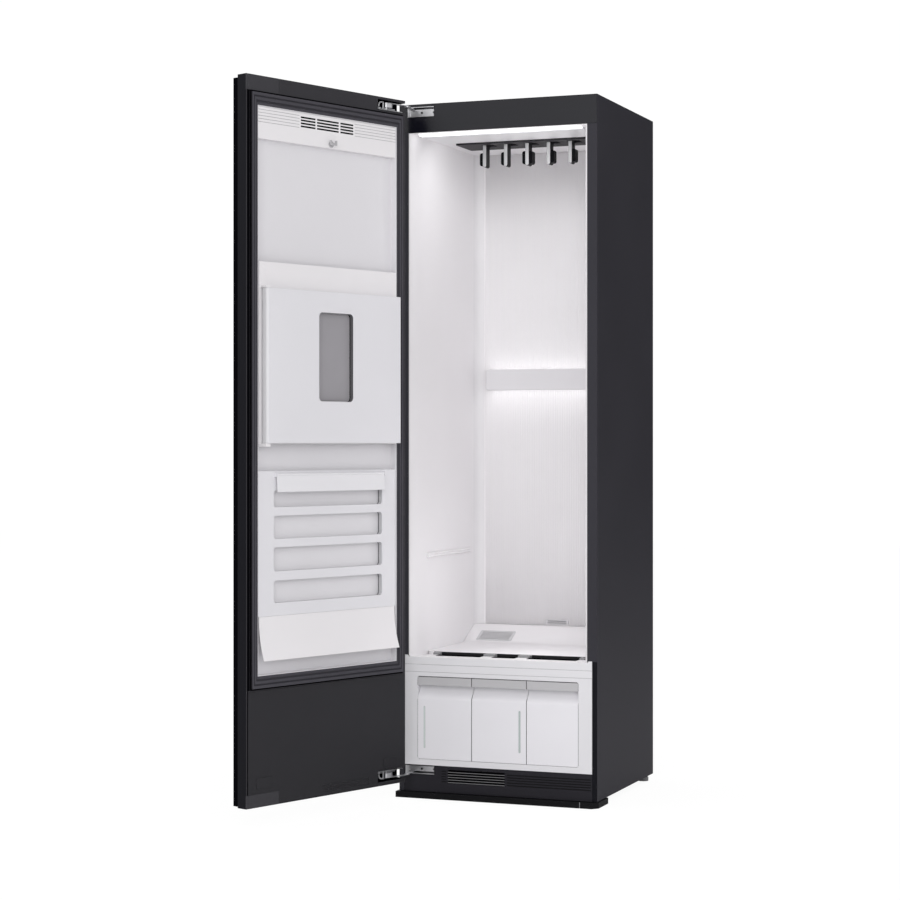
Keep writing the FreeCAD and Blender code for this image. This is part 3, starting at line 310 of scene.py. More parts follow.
# %% Finishes of single nodes
tank_white = finish("white_tank", (0.875, 0.865, 0.90), 0.38, grain=0.12, tone=0.012)
press_white = finish("white_press_panel", (0.775, 0.770, 0.800), 0.38, grain=0.12, tone=0.012)
own_paint = {
    "trouser_rack": press_white,
    "door_liner": finish("white_door_pan", (0.755, 0.745, 0.770), 0.42, tone=0.012),
    "supply_tank": tank_white,
    "drain_tank": tank_white,
    "filter_drawer": tank_white,
    "hook_pads": finish("black_hook_pad", (0.003, 0.003, 0.004), 0.4, specular=0.06),
    "trouser_peg": finish("grey_peg", (0.46, 0.455, 0.47), 0.4),
    "kick_grille": finish("charcoal_kick_plate", (0.021, 0.020, 0.025), 0.55, grain=0.2,
                          specular=0.12),
    "back_light_bar": finish("pale_light_housing", (0.74, 0.73, 0.75), 0.4, grain=0.15,
                             tone=0.015),
    "press_window": finish("grey_press_window", (0.335, 0.325, 0.345), 0.3, grain=0.1,
                           specular=0.4),
    "door_frame": finish("dark_door_body", (0.028, 0.027, 0.032), 0.5, grain=0.25, specular=0.3),
    "door_corner_caps": finish("dark_corner_cap", (0.038, 0.037, 0.043), 0.5, grain=0.25,
                               specular=0.3),
    "steam_vent_grille": finish("pale_vent_grey", (0.60, 0.595, 0.61), 0.45, grain=0.2),
    "rear_air_vent": finish("pale_rear_vent", (0.62, 0.61, 0.63), 0.45, grain=0.2),
    "hanger_track_cover": finish("dark_track_cover", (0.022, 0.021, 0.024), 0.5, grain=0.2,
                                 specular=0.15),
    "supply_tank_window": finish("green_grey_gauge", (0.66, 0.71, 0.70), 0.25, tone=0.02,
                                 coat=0.3),
    "drain_tank_window": finish("pale_green_gauge", (0.47, 0.53, 0.52), 0.25, tone=0.02,
                                coat=0.3),
}
for name, node in nodes.items():
    paint = own_paint[name] if name in own_paint else paints[slot_of_node[name]]
    node.data.materials.clear()
    node.data.materials.append(paint)
print("nodes with a finish of their own:", len(own_paint))

# %% [markdown]
# ## The door shut and open
# The door stands open, turned about its hinge line, so none of its faces lies along an axis. It
# is far easier to model a door piece as it lies with the door shut, and to swing the finished
# mesh open. The joint in the record gives the hinge line and the angle.

# %% The swing
swing = next(j for j in frame["joints"] if j["name"] == "door_swing")
hinge_line = Vector(swing["pos_m"])
opened = Matrix.Rotation(-math.radians(swing["range_deg"][1]), 4, "Z")
hang = Matrix.Translation(hinge_line) @ opened @ Matrix.Translation(-hinge_line)
shut = hang.inverted()


def reach(node, closed=False):
    """Lowest and highest corner of a node, and of a door node as it lies with the door shut."""
    points = [(shut if closed else Matrix()) @ v.co for v in nodes[node].data.vertices]
    return tuple(Vector([pick(p[k] for p in points) for k in range(3)]) for pick in (min, max))


print("door panel when shut:", [round(c, 3) for c in reach("door_frame", closed=True)[1]])

# %% [markdown]
# ## Softened edges
# A moulding or a folded sheet has no knife edge. The CAD meshes do, so each piece that shows is
# copied, its loose triangles are merged back into flat faces, and a narrow bevel rounds the edges.
# A weighted normal modifier then lets each large face keep its own flat shading, so the light
# only turns in the narrow rounded strip.

# %% Softened copies
BEVEL_ANGLE, BEVEL_SEGMENTS = math.radians(38), 2
SMOOTH_BEFORE, SMOOTH_AFTER, SMOOTH_UNROUNDED = (math.radians(a) for a in (28, 50, 80))
MERGE, FLATTEN = 0.00002, math.radians(1.5)


def round_edges(piece, width):
    """Round the sharp edges of a piece and keep its large faces flat to the eye."""
    bpy.ops.object.select_all(action="DESELECT")
    bpy.context.view_layer.objects.active = piece
    piece.select_set(True)
    bpy.ops.object.shade_smooth_by_angle(angle=SMOOTH_BEFORE)
    round_off = piece.modifiers.new("round_off", "BEVEL")
    round_off.limit_method, round_off.angle_limit = "ANGLE", BEVEL_ANGLE
    round_off.width, round_off.segments, round_off.use_clamp_overlap = width, BEVEL_SEGMENTS, True
    bpy.ops.object.modifier_apply(modifier="round_off")
    bpy.ops.object.shade_smooth_by_angle(angle=SMOOTH_AFTER)
    level = piece.modifiers.new("level_faces", "WEIGHTED_NORMAL")
    level.weight, level.keep_sharp = 100, True
    bpy.ops.object.modifier_apply(modifier="level_faces")


def attach(piece, node):
    """Let a piece move with a node's body."""
    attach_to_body(piece, body_of_node[node])


def stand_in(piece, node):
    """Attach a piece to a node's body and show it in the node's place."""
    attach(piece, node)
    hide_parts(node)


def softened(node, width, cuts=()):
    """A copy of a CAD node with rounded edges, cut by some planes where two finishes meet."""
    bpy.ops.object.select_all(action="DESELECT")
    piece = bpy.data.objects.new(node + "_soft", nodes[node].data.copy())
    bpy.context.scene.collection.objects.link(piece)
    bpy.context.view_layer.objects.active = piece
    piece.select_set(True)
    bpy.ops.object.mode_set(mode="EDIT")
    bpy.ops.mesh.select_all(action="SELECT")
    bpy.ops.mesh.remove_doubles(threshold=MERGE)
    bpy.ops.mesh.dissolve_limited(angle_limit=FLATTEN)
    for place, across in cuts:
        bpy.ops.mesh.select_all(action="SELECT")
        bpy.ops.mesh.bisect(plane_co=place, plane_no=across)
    bpy.ops.object.mode_set(mode="OBJECT")
    if width:
        round_edges(piece, width)
    else:
        bpy.ops.object.shade_smooth_by_angle(angle=SMOOTH_UNROUNDED)
    stand_in(piece, node)
    return piece


# %% The pieces and their edge widths
soft_edges = {
    "fluted_back_panel": 0, "side_panel_left": 0.0008, "side_panel_right": 0.0008,
    "top_cover": 0.0007, "front_header": 0.0005, "tank_bay": 0.0012, "supply_tank": 0.0015,
    "drain_tank": 0.0015, "filter_drawer": 0.0015, "press_backing_plate": 0.001,
    "trouser_rack": 0.0007, "rack_flap": 0.0006, "drip_guide": 0.0006, "door_frame": 0.0012,
    "door_glass": 0.0008, "door_liner": 0.0008, "door_duct_cover": 0.0006,
    "door_lower_panel": 0.0006, "door_corner_caps": 0.0005, "door_panel_plugs": 0.0006,
    "trouser_peg": 0.0008, "kick_grille": 0.0004, "front_foot_bar": 0.0018,
    "hinge_bracket_upper": 0.0006, "hinge_bracket_lower": 0.0006, "hinge_arms": 0.0006,
    "hinge_links": 0.0006, "hinge_plates": 0.0006, "back_light_bar": 0.002,
    "chamber_floor": 0.0012, "steam_vent_grille": 0.0006, "shelf_rail_left": 0.001,
    "shelf_rail_right": 0.001, "hanger_bar": 0.0012, "hook_pads": 0.0008,
    "hanger_track_cover": 0.0008, "ceiling_lamp": 0.001, "front_air_slot": 0.0006,
}
UP, BACK = (0, 0, 1), (0, 1, 0)
TANKS = ("supply_tank", "drain_tank", "filter_drawer")
SCOOP_Z, BAND_Z, BAND_TOP = 0.279, 0.3187, 0.3420  # foot of the scoops, foot and top of the bands
# Below this height the side panel's front flange takes painted shade, as if shadowed by the tub's lip.
FLANGE_Z = 0.402  # the side panel's front is darker below this height
lamp_lo, lamp_hi = reach("ceiling_lamp")
LAMP_Y = lamp_lo.y + 0.55 * (lamp_hi.y - lamp_lo.y)  # only the strip in front of this is lit
cut_at = {node: (((0, 0, BAND_Z), UP), ((0, 0, BAND_TOP), UP)) for node in TANKS}
cut_at["tank_bay"] = (((0, 0, SCOOP_Z), UP), ((0, 0, BAND_Z), UP))
cut_at["side_panel_right"] = (((0, 0, FLANGE_Z), UP),)
cut_at["ceiling_lamp"] = (((0, LAMP_Y, 0), BACK),)
soft = {node: softened(node, width, cut_at.get(node, ())) for node, width in soft_edges.items()}
print("softened pieces:", len(soft))

# %% [markdown]
# ## Second finishes and painted light on one piece
# A tank front carries a grey label band and a cut glass edge is black: one moulding with two finishes.
# Many more faces take painted light: a painted highlight on the louvre blades' front edges, and painted
# shade in gaps, grooves, recesses and on sides. Faces are chosen by where they lie and which way they look, and
# are given a second material slot.


# %% Second finishes and painted light
def repaint(piece, paint, test, on_door=False):
    """Give the faces that pass a test of centre and normal another finish or painted light."""
    piece.data.materials.append(paint)
    turn = shut if on_door else Matrix()
    for face in piece.data.polygons:
        if test(turn @ face.center, turn.to_3x3() @ face.normal):
            face.material_index = len(piece.data.materials) - 1


def within(value, span):
    """Whether a value lies between the two ends of a span."""
    return span[0] < value < span[1]


label_grey = finish("label_band_grey", (0.53, 0.525, 0.54), 0.42, grain=0.15, tone=0.02)
seam_shade = finish("painted_seam_shade", (0.02, 0.02, 0.022), 0.6, specular=0.1)
rim_and_shade_black = finish("painted_shade_and_dark_rim", (0.003, 0.003, 0.004), 0.5, specular=0)
dark_flank_and_shade = finish("dark_door_flank_and_painted_shade", (0.006, 0.006, 0.009), 0.5, specular=0.1)
slat_highlight = finish("painted_slat_highlight", (0.20, 0.20, 0.205), 0.5, specular=0.3)
sunk_line_shade = finish("painted_sunk_line_shade", (0.42, 0.415, 0.43), 0.5)
gap_shade_grey = finish("painted_gap_shade", (0.13, 0.13, 0.135), 0.6, specular=0.1)
recess_shade_grey = finish("painted_recess_shade", (0.115, 0.113, 0.12), 0.4, specular=0.3)
hook_face = finish("grey_hook_face", (0.40, 0.40, 0.41), 0.35, metal=0.2, grain=0.15)
hook_flank_shade = finish("painted_hook_flank_shade", (0.012, 0.012, 0.013), 0.4, specular=0.1)
seal_crease_shade = finish("painted_seal_crease_shade", (0.034, 0.033, 0.039), 0.6, specular=0.1)
vent_crease_shade = finish("painted_vent_crease_shade", (0.008, 0.008, 0.009), 0.6, specular=0.1)
press_flank_shade = finish("painted_press_flank_shade", (0.70, 0.697, 0.715), 0.42, tone=0.01)
mark_light = finish("light_mark", (0.25, 0.25, 0.26), 0.5)
tab_grey = finish("grey_tab", (0.30, 0.30, 0.31), 0.45)
corner_shade_white = finish("painted_liner_corner_shade", (0.74, 0.73, 0.745), 0.5, grain=0.12, tone=0.012)
print("finishes in all:", len(bpy.data.materials))

# %% The chamber and the tank fronts
CORNER_Y = 0.40                 # the chamber's rounded back corners lie behind this
RIM_Y = 0.012                   # how thick a tank's front is
BAY_Y, BAY_HALF = 0.01, 0.25    # depth and half width of the openings for the tanks
BAY_SPAN = (0.109, 0.345)       # their foot and head
LINE_Y = (0.0006, 0.001)        # the fine line sunk into the tank surround
# Painted shade: the chamber's rounded back corners take a darker white than the liner.
repaint(nodes["chamber_liner"], corner_shade_white, lambda c, n: c.y > CORNER_Y
        and n.y < -0.15 and abs(n.x) > 0.15 and abs(n.z) < 0.3)
for node in TANKS:
    repaint(soft[node], label_grey, lambda c, n: BAND_Z < c.z < BAND_TOP and n.y < -0.7)
    # Painted shade: a tank's side, top and foot faces near its front take grey, as the gap around it lies in
    # shade.
    repaint(soft[node], gap_shade_grey, lambda c, n: c.y < RIM_Y and max(abs(n.x), abs(n.z)) > 0.9)
    # Painted shade in the seams between the tanks and along the top of the bands.
    repaint(soft[node], seam_shade, lambda c, n: c.z > BAND_Z and c.y < RIM_Y
            and (abs(n.y) < 0.3 or c.z > BAND_TOP))
# Painted shade on the walls of the openings around the tanks, except beside the scoops.
repaint(soft["tank_bay"], gap_shade_grey, lambda c, n: max(abs(n.x), abs(n.z)) > 0.9 and c.y < BAY_Y
        and within(c.z, BAY_SPAN) and abs(c.x) < BAY_HALF and not SCOOP_Z < c.z < BAND_Z)
# Painted shade in the fine line sunk into the tank surround.
repaint(soft["tank_bay"], sunk_line_shade, lambda c, n: n.y < -0.9 and within(c.y, LINE_Y))
# Painted shade: the side panel's front flange below FLANGE_Z.
repaint(soft["side_panel_right"], dark_flank_and_shade, lambda c, n: n.y < -0.9 and c.z < FLANGE_Z)
repaint(soft["ceiling_lamp"], paints["white_plastic"], lambda c, n: c.y > LAMP_Y)
print("finishes on the tank surround:", len(soft["tank_bay"].data.materials))

# %% The door, the kick plate and the small parts
DOOR_TOP = 1.957
POCKET_X, POCKET_Y = (-0.294, -0.1865), (-0.041, -0.009)    # the hinge pockets of the door
POCKET_TOP, POCKET_FOOT = (1.9225, 1.9515), (0.0655, 0.0985)
DUCT_LINE_Y = -0.0078                                       # top of the duct cover's fine lines
VENT_X, VENT_Z, VENT_FRONT = (-0.1475, 0.0242), (0.0448, 0.0842), 0.0002
SLAT_X, SLAT_Y, GROOVE_Y = (-0.15, 0.026), (0.0001, 0.0006), (0.0007, 0.0013)
MARK_X, MARK_HALF, MARK_Y = 0.2481, 0.0011, -0.0105
HOOK_TOP, TAB_Y, TAB_Z = 1.9, 0.0955, 0.3957
# The door's free edge, top and foot take a darker paint: partly the edge's own dark colour, partly painted shade.
repaint(soft["door_frame"], dark_flank_and_shade, lambda c, n: n.x > 0.6 or abs(n.z) > 0.9
        or abs(n.z) > 0.3 and c.z > DOOR_TOP, on_door=True)
# Black painted shade inside the door's hinge pockets.
repaint(soft["door_frame"], rim_and_shade_black, lambda c, n: within(c.x, POCKET_X)
        and within(c.y, POCKET_Y)
        and (within(c.z, POCKET_TOP) or within(c.z, POCKET_FOOT)), on_door=True)
# The cut edges of the glass are black.
repaint(soft["door_glass"], rim_and_shade_black, lambda c, n: n.y > -0.8, on_door=True)
# Painted shade in the sunk fine lines of the duct cover.
repaint(soft["door_duct_cover"], sunk_line_shade, lambda c, n: c.y > DUCT_LINE_Y, on_door=True)
# Black painted shade inside the louvre's recess; the slat fronts are left out.
repaint(soft["kick_grille"], rim_and_shade_black, lambda c, n: within(c.x, VENT_X) and within(c.z, VENT_Z)
        and not (n.y < -0.8 and c.y < VENT_FRONT))
# Painted highlight along the front edges of the louvre slats.
repaint(soft["kick_grille"], slat_highlight,
        lambda c, n: n.y < -0.8 and within(c.y, SLAT_Y) and within(c.x, SLAT_X))
# Painted shade in the kick plate's grooves.
repaint(soft["kick_grille"], vent_crease_shade, lambda c, n: n.y < -0.8 and within(c.y, GROOVE_Y))
repaint(soft["front_foot_bar"], mark_light,
        lambda c, n: abs(c.x - MARK_X) < MARK_HALF and c.y < MARK_Y)
# Painted shade: the hanger bar is near black all over except the hooks' front faces, which keep their grey.
repaint(soft["hanger_bar"], hook_flank_shade, lambda c, n: True)
repaint(soft["hanger_bar"], hook_face, lambda c, n: n.y < -0.6 and c.z < HOOK_TOP)
repaint(soft["front_air_slot"], tab_grey, lambda c, n: c.y < TAB_Y and c.z > TAB_Z)
print("finishes on the kick plate:", len(soft["kick_grille"].data.materials))

# %% [markdown]
# ## The door seal
# The seal is a long extruded rubber strip with two soft ridges, mitred at the four corners. An
# inset of a single face keeps its corners mitred by itself, so the strip needs no sweep: the face
# is inset again and again, up for a ridge and down for a groove, and the middle is bridged open.


# %% Blocks and faces
def block(name, lo, hi):
    """A cube primitive set between two corners, with its place in its mesh."""
    bpy.ops.object.select_all(action="DESELECT")
    lo, hi = Vector(lo), Vector(hi)
    bpy.ops.mesh.primitive_cube_add(size=1, location=(lo + hi) / 2)
    piece = bpy.context.object
    piece.name, piece.scale = name, hi - lo
    bpy.ops.object.transform_apply(location=True, rotation=True, scale=True)
    return piece


def choose(piece, test, kind="FACE"):
    """In edit mode, select the faces or edges whose middle and direction pass a test."""
    bpy.ops.object.mode_set(mode="EDIT")
    bpy.ops.mesh.select_mode(type=kind)
    bpy.ops.mesh.select_all(action="DESELECT")
    shape = bmesh.from_edit_mesh(piece.data)
    for item in shape.faces if kind == "FACE" else shape.edges:
        ends = [v.co for v in item.verts]
        middle = sum(ends, Vector()) / len(ends)
        along = item.normal if kind == "FACE" else (ends[1] - ends[0]).normalized()
        item.select_set(test(middle, along))
    bmesh.update_edit_mesh(piece.data)


def round_corners(piece, test, radius, segments):
    """Round the edges of a piece that pass a test."""
    choose(piece, test, kind="EDGE")
    bpy.ops.mesh.bevel(offset=radius, segments=segments, affect="EDGES")


def hung(piece, paint, width, node, join=stand_in):
    """Round a finished door piece, swing it open with the door and give it its finish."""
    bpy.ops.object.mode_set(mode="OBJECT")
    piece.data.materials.append(paint)
    if width:
        round_edges(piece, width)
    piece.data.transform(hang)
    join(piece, node)


def placed(piece, paint, node):
    """Give a finished piece beside a node its finish and let it move with that node's body."""
    bpy.ops.object.mode_set(mode="OBJECT")
    piece.data.materials.append(paint)
    attach(piece, node)


# %% Seal strip
SEAL_BASE, GROOVE, HAIR = 0.0035, 0.0022, 0.0001
SIDE_WIDE, FOOT_WIDE, HEAD_WIDE = 24, 35, 36  # the strip's foot and head are wider than its sides
seal_lo, seal_hi = reach("door_gasket", closed=True)
base_y, top_y = seal_lo.y + SEAL_BASE, seal_hi.y
mid_z = (seal_lo.z + seal_hi.z) / 2
seal = block("door_seal_strip", seal_lo, (seal_hi.x, base_y, seal_hi.z))
choose(seal, lambda c, n: n.y > 0.9)
rise = top_y - base_y - HAIR
ridges = [(0.0024, 0), (0.0006, rise), (0.0045, 0), (0.0008, -GROOVE), (0.0024, 0),
          (0.0008, GROOVE), (0.0040, 0), (0.0008, -GROOVE), (0.0030, 0), (0.0007, GROOVE - rise),
          (0.0040, 0)]
strip = sum(thickness for thickness, _ in ridges)
for thickness, depth in ridges:
    bpy.ops.mesh.inset(thickness=thickness, depth=depth, use_even_offset=True)
choose(seal, lambda c, n: n.y < -0.9)
bpy.ops.mesh.inset(thickness=strip, depth=0, use_even_offset=True)
choose(seal, lambda c, n: abs(n.y) > 0.9 and abs(c.x) < 0.01 and abs(c.z - mid_z) < 0.01)
bpy.ops.mesh.bridge_edge_loops()
bpy.ops.mesh.select_all(action="SELECT")
bpy.ops.mesh.normals_make_consistent(inside=False)
bpy.ops.object.mode_set(mode="OBJECT")
for corner in seal.data.vertices:
    from_foot, from_head = corner.co.z - seal_lo.z, seal_hi.z - corner.co.z
    if from_foot < strip + HAIR:
        corner.co.z = seal_lo.z + from_foot * FOOT_WIDE / SIDE_WIDE
    if from_head < strip + HAIR:
        corner.co.z = seal_hi.z - from_head * HEAD_WIDE / SIDE_WIDE
hung(seal, paints["seal_grey"], 0.0004, "door_gasket")
print("seal faces:", len(seal.data.polygons))

# %% Painted shade in the grooves and along the outer edges of the seal
GROOVE_FOOT, GROOVE_HEAD = 0.0030, 0.0014
OUTER_X, OUTER_FOOT, OUTER_HEAD = 0.0026, 0.0037, 0.0038
# Painted shade in the seal's grooves, and black painted shade along its outer ledge.
repaint(seal, seal_crease_shade, lambda c, n: top_y - GROOVE_FOOT < c.y < top_y - GROOVE_HEAD
        and n.y > -0.5, on_door=True)
repaint(seal, rim_and_shade_black, lambda c, n: n.y > -0.5 and c.y < top_y - GROOVE_HEAD and (
    abs(c.x) > seal_hi.x - OUTER_X or c.z < seal_lo.z + OUTER_FOOT
    or c.z > seal_hi.z - OUTER_HEAD), on_door=True)
print("finishes on the seal:", len(seal.data.materials))

# %% [markdown]
# ## The press panel
# The panel is one deep moulding with a sunk window. A block has its upright edges rounded, four
# bisect cuts mark out the window, the face between them is pushed in, and its corners rounded.


# %% Sunk openings
def sink(piece, x0, x1, z0, z1, depth, r):
    """Push a round-cornered opening into the +Y face of a piece."""
    for point, across in (((x0, 0, 0), (1, 0, 0)), ((x1, 0, 0), (1, 0, 0)),
                          ((0, 0, z0), UP), ((0, 0, z1), UP)):
        bpy.ops.object.mode_set(mode="EDIT")
        bpy.ops.mesh.select_all(action="SELECT")
        bpy.ops.mesh.bisect(plane_co=point, plane_no=across)
    top = max(v.co.y for v in bmesh.from_edit_mesh(piece.data).verts)
    choose(piece, lambda c, n: n.y > 0.9 and x0 < c.x < x1 and z0 < c.z < z1
           and c.y > top - 0.0005)
    bpy.ops.mesh.extrude_region_move(TRANSFORM_OT_translate={"value": (0, -depth, 0)})
    round_corners(piece, lambda c, d: abs(d.y) > 0.9 and abs(c.y - (top - depth / 2)) < 0.0004
                  and min(abs(c.x - x0), abs(c.x - x1)) < 0.0003
                  and min(abs(c.z - z0), abs(c.z - z1)) < 0.0003, r, 8)


# %% Press panel
WINDOW_DEEP, WINDOW_R, PRESS_R, WALL_FOOT = 0.0155, 0.012, 0.006, 0.003
PANE_GAP, PANE_LIFT, PANE_THICK, PANE_R = 0.0022, 0.0003, 0.0022, 0.0098
press_lo, press_hi = reach("press_panel", closed=True)
window_lo, window_hi = reach("press_window", closed=True)
press = block("press_moulding", press_lo, press_hi)
round_corners(press, lambda c, d: abs(d.z) > 0.9, PRESS_R, 6)
sink(press, window_lo.x, window_hi.x, window_lo.z, window_hi.z, WINDOW_DEEP, WINDOW_R)
bpy.ops.mesh.select_all(action="SELECT")
bpy.ops.mesh.bisect(plane_co=(0, press_hi.y - WINDOW_DEEP + WALL_FOOT, 0), plane_no=BACK)
hung(press, press_white, 0.0012, "press_panel")
pane_y = press_hi.y - WINDOW_DEEP
pane = block("press_pane",
             (window_lo.x + PANE_GAP, pane_y + PANE_LIFT, window_lo.z + PANE_GAP),
             (window_hi.x - PANE_GAP, pane_y + PANE_THICK, window_hi.z - PANE_GAP))
round_corners(pane, lambda c, d: abs(d.y) > 0.9, PANE_R, 8)
hung(pane, own_paint["press_window"], 0.0005, "press_window")
print("press panel faces:", len(press.data.polygons))

# %% Walls of the window
FREE_EDGE_X, WALL_HALF, WALL_RIM, DARK_X = 0.2, 0.065, 0.0012, -0.05


def on_wall(c, n):
    """Whether a face stands in the window's opening."""
    return (abs(n.y) < 0.8 and abs(c.x) < WALL_HALF
            and window_lo.z - 0.001 < c.z < window_hi.z + 0.001)


# Painted shade: the press panel's free side takes a greyer white than its front.
repaint(press, press_flank_shade, lambda c, n: n.x > 0.45 and c.x > FREE_EDGE_X, on_door=True)
# Painted shade on the walls of the sunk window.
repaint(press, recess_shade_grey, lambda c, n: on_wall(c, n)
        and pane_y - 0.001 < c.y < press_hi.y - WALL_RIM, on_door=True)
# Black painted shade where the window's dark side wall meets the pane.
repaint(press, rim_and_shade_black, lambda c, n: on_wall(c, n) and c.x < DARK_X
        and pane_y < c.y < pane_y + WALL_FOOT, on_door=True)
print("finishes on the press panel:", len(press.data.materials))

# %% [markdown]
# ## Deep slots in the trouser rack
# Behind each slot of the rack a wall runs back to the door's white pan. It is a sleeve: a block
# with rounded corners whose two open ends are inset by the wall and bridged.

# %% Slot sleeves
INNER = -0.008  # the door's inner face when it is shut
RACK_PLATE, PAN_SKIN, SHADE_RIM, SHADE_X = 0.0025, 0.0023, 0.0032, 0.012
RACK_SLOTS = ((0.095, 0.050), (0.178, 0.117), (0.263, 0.200), (0.346, 0.287))  # below its top
SLEEVE_WALL, SLOT_R = 0.0015, 0.008
rack_lo, rack_hi = reach("trouser_rack", closed=True)
sleeve_y0 = reach("door_liner", closed=True)[0].y + PAN_SKIN
sleeve_y1 = INNER - RACK_PLATE - 0.0001
slot_x0, slot_x1 = rack_lo.x + 0.051, rack_hi.x - 0.054
foot_line = sleeve_y0 + SHADE_RIM
for number, (foot, head) in enumerate(RACK_SLOTS):
    sleeve = block("slot_sleeve_%d" % number,
                   (slot_x0 - SLEEVE_WALL, sleeve_y0, rack_hi.z - foot - SLEEVE_WALL),
                   (slot_x1 + SLEEVE_WALL, sleeve_y1, rack_hi.z - head + SLEEVE_WALL))
    round_corners(sleeve, lambda c, d: abs(d.y) > 0.9, SLOT_R + SLEEVE_WALL, 6)
    choose(sleeve, lambda c, n: abs(n.y) > 0.9)
    bpy.ops.mesh.inset(thickness=SLEEVE_WALL, depth=0, use_individual=True)
    bpy.ops.mesh.bridge_edge_loops()
    bpy.ops.mesh.select_all(action="SELECT")
    bpy.ops.mesh.normals_make_consistent(inside=False)
    bpy.ops.mesh.bisect(plane_co=(0, foot_line, 0), plane_no=BACK)
    hung(sleeve, paints["light_grey"], 0, "trouser_rack", join=attach)
    # Painted shade on the hinge side wall of each sleeve, near the pan.
    repaint(sleeve, recess_shade_grey, lambda c, n: n.x > 0.3 and c.y < foot_line
            and c.x < slot_x0 + SHADE_X, on_door=True)
print("slot sleeves:", len(RACK_SLOTS))

# %% [markdown]
# ## Black painted shade on the door
# Two narrow black trays of painted shade lie in the gaps beside the seal and the lower panel, and black
# trays of painted shade line the duct behind the air slots. Each is a shallow tray: a block whose open face is
# inset and pushed in.


# %% Black trays of painted shade in the gaps and the duct
def tray(name, lo, hi, rim, depth, node):
    """A shallow black tray of painted shade on the door, open towards the cabinet."""
    piece = block(name, lo, hi)
    choose(piece, lambda c, n: n.y > 0.9)
    bpy.ops.mesh.inset(thickness=rim, depth=0)
    bpy.ops.mesh.extrude_region_move(TRANSFORM_OT_translate={"value": (0, -depth, 0)})
    hung(piece, rim_and_shade_black, 0, node, join=attach)


CHANNEL_TOP, CHANNEL_RIM, CHANNEL_DEEP = INNER + 0.0004, 0.0004, 0.0003
CAP_FOOT, CAP_HEAD = 0.0346, 0.0414  # heights of the two corner caps
DUCT_RIM = DUCT_DEEP = 0.001
SLOT_COLUMNS = ((-0.091, -0.044), (-0.036, 0.043), (0.050, 0.102))
SLOT_FOOT, FIRST_SLOT, SLOT_PITCH, SLOT_COUNT = 0.0402, 0.0031, 0.008, 4
SLOT_SIDE, SLOT_RIM, SLOT_DEEP = 0.0005, 0.0009, 0.0016
caps_lo, caps_hi = reach("door_corner_caps", closed=True)
duct_top = reach("door_duct_cover", closed=True)[1].z
tray("side_gap_shade", (0.2835, INNER, 0.361), (0.2922, CHANNEL_TOP, caps_hi.z - CAP_HEAD),
     CHANNEL_RIM, CHANNEL_DEEP, "door_frame")
tray("low_gap_shade", (0.2888, INNER, caps_lo.z + CAP_FOOT + 0.0003), (0.2918, CHANNEL_TOP, 0.3605),
     CHANNEL_RIM, CHANNEL_DEEP, "door_frame")
tray("duct_shade_lining", (-0.096, -0.0130, duct_top - 0.0405), (0.107, -0.0103, duct_top - 0.0075),
     DUCT_RIM, DUCT_DEEP, "door_duct_cover")
slot_rows = [duct_top - SLOT_FOOT + FIRST_SLOT + SLOT_PITCH * k for k in range(SLOT_COUNT)]
vent_slots = [(x0, x1, z) for x0, x1 in SLOT_COLUMNS for z in slot_rows]
for number, (x0, x1, z) in enumerate(vent_slots):
    tray("duct_slot_shade_%d" % number, (x0 - SLOT_SIDE, -0.0081, z - 0.0007),
         (x1 + SLOT_SIDE, -0.0079, z + 0.0037), SLOT_RIM, SLOT_DEEP, "door_duct_cover")
print("trays on the door:", 3 + len(vent_slots))

# %% [markdown]
# ## Cheeks of the tank scoops
# Each tank is a little narrower behind its front, so that it slides freely. Inside the scoop that
# step would show as a gap, so the real front has thin cheeks there that follow the scoop's curve,
# and a thin plate closes the row of scoops at each side.

# %% Scoop cheeks and ends
SCOOP_DEEP, CHEEK, FRONT_Y, BACK_Y = 0.019, 0.0013, 0.0101, 0.030
CURVE_TOP, CURVE_STEP, CURVE_STEPS = BAND_Z - 0.005, 0.0025, 7
END_THICK, END_FRONT, END_BACK, END_R = 0.0005, 0.0032, 0.032, 0.004
for node in TANKS:
    lo, hi = reach(node)
    for side, x0 in (("left", lo.x), ("right", hi.x - CHEEK)):
        cheek = block("%s_cheek_%s" % (node, side), (x0, FRONT_Y, SCOOP_Z),
                      (x0 + CHEEK, BACK_Y, BAND_Z - 0.0001))
        bpy.ops.object.mode_set(mode="EDIT")
        for step in range(CURVE_STEPS):
            bpy.ops.mesh.select_all(action="SELECT")
            bpy.ops.mesh.bisect(plane_co=(0, 0, CURVE_TOP - CURVE_STEP * step), plane_no=UP)
        bpy.ops.object.mode_set(mode="OBJECT")
        for corner in cheek.data.vertices:
            if corner.co.y < 0.011:
                t = min(1, max(0, (CURVE_TOP - corner.co.z) / (CURVE_TOP - SCOOP_Z)))
                corner.co.y = max(FRONT_Y, SCOOP_DEEP * (1 - t * t * (3 - 2 * t)) + 0.0003)
        placed(cheek, paints["white_plastic"], node)
end_left = min(reach(node)[0].x for node in TANKS) - 0.0009
end_right = max(reach(node)[1].x for node in TANKS) + 0.0004
for side, x0 in (("left", end_left), ("right", end_right)):
    end = block("scoop_end_" + side, (x0, END_FRONT, SCOOP_Z - 0.004),
                (x0 + END_THICK, END_BACK, BAND_Z + 0.002))
    round_corners(end, lambda c, d: abs(d.x) > 0.9 and c.y > 0.03, END_R, 4)
    placed(end, paints["white_plastic"], "tank_bay")
print("cheeks:", 2 * len(TANKS), "scoop ends: 2")
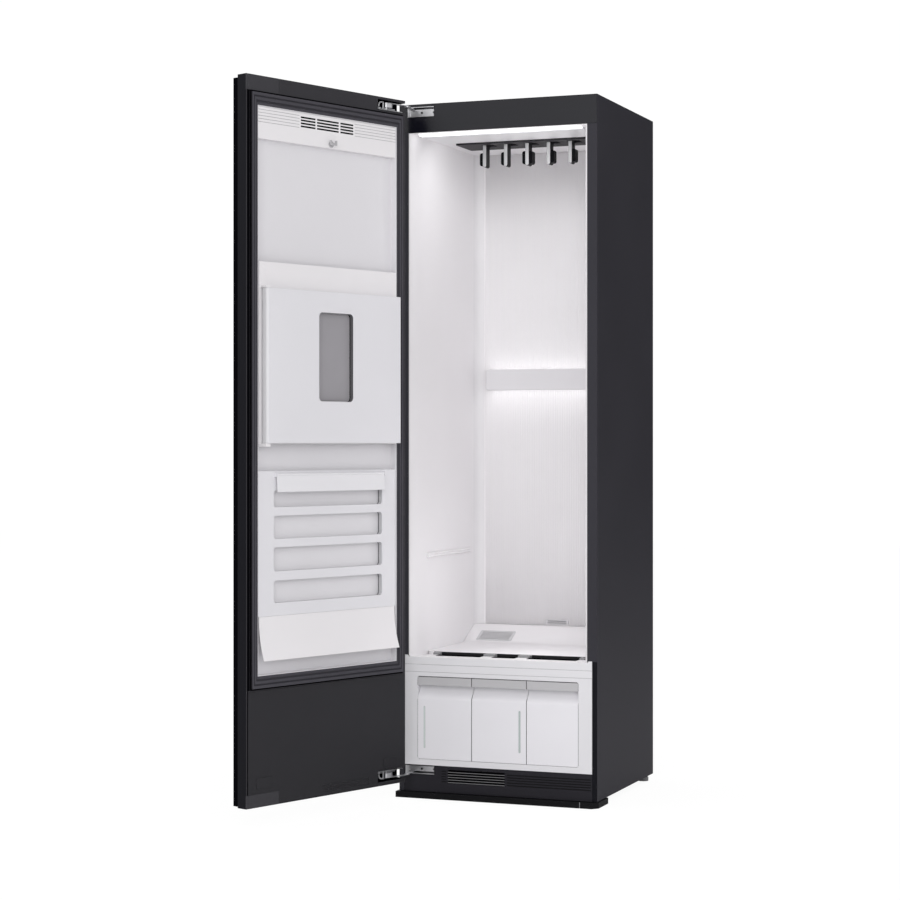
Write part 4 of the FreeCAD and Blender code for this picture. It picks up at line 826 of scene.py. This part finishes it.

# %% [markdown]
# ## Black painted shade in the air slot
# A thin black plate of painted shade lies in front of each open stretch of the air slot, which makes the slot read
# as one deep black line between its grey tabs. Each plate is a thin block with rounded corners.

# %% Black plates of painted shade in the slot
LEDGE, SLOT_SHADE_DEEP, SLOT_SHADE_R = 0.004, 0.030, 0.003
slot_lo, slot_hi = reach("front_air_slot")
ledge_top = slot_lo.z + LEDGE
STRETCHES = ((slot_lo.x + 0.024, -0.069), (-0.035, 0.035), (0.070, slot_hi.x - 0.010))
for number, (x0, x1) in enumerate(STRETCHES):
    slot_shade = block("slot_shade_plate_%d" % number, (x0, slot_lo.y - SLOT_SHADE_DEEP, ledge_top + 0.00005),
                (x1, slot_lo.y - 0.0002, ledge_top + 0.0005))
    round_corners(slot_shade, lambda c, d: abs(d.z) > 0.9, SLOT_SHADE_R, 4)
    placed(slot_shade, rim_and_shade_black, "front_air_slot")
print("slot lips:", len(STRETCHES))

# %% [markdown]
# ## The mesh under the steam vent
# Under the vent's slots lies a fine pale mesh that keeps lint out of the steam duct. It is a thin
# plate, subdivided into small squares, each inset and pushed in, and laid on the floor's slope.

# %% Steam mesh
CREASE_Y, CREASE_Z, RISE_Y = 0.385, 0.405, 0.478  # where the floor's slope starts and ends
MESH_SIDE, MESH_Y, MESH_Z = 0.007, (0.019, 0.061), (-0.0016, -0.0004)
MESH_CUTS, WIRE, HOLE_DEEP = 13, 0.0006, 0.0005
vent_lo, vent_hi = reach("steam_vent_grille")
floor_top = reach("chamber_floor")[1].z
slope = math.atan2(floor_top - CREASE_Z, RISE_Y - CREASE_Y)
mesh = block("steam_mesh", (vent_lo.x + MESH_SIDE, MESH_Y[0], MESH_Z[0]),
             (vent_hi.x - MESH_SIDE, MESH_Y[1], MESH_Z[1]))
choose(mesh, lambda c, n: n.z > 0.9)
bpy.ops.mesh.subdivide(number_cuts=MESH_CUTS)
choose(mesh, lambda c, n: n.z > 0.9)
bpy.ops.mesh.inset(thickness=WIRE, depth=-HOLE_DEEP, use_individual=True)
bpy.ops.object.mode_set(mode="OBJECT")
mesh.data.transform(Matrix.Translation((0, CREASE_Y, CREASE_Z)) @ Matrix.Rotation(slope, 4, "X"))
placed(mesh, own_paint["steam_vent_grille"], "steam_vent_grille")
print("mesh faces:", len(mesh.data.polygons))
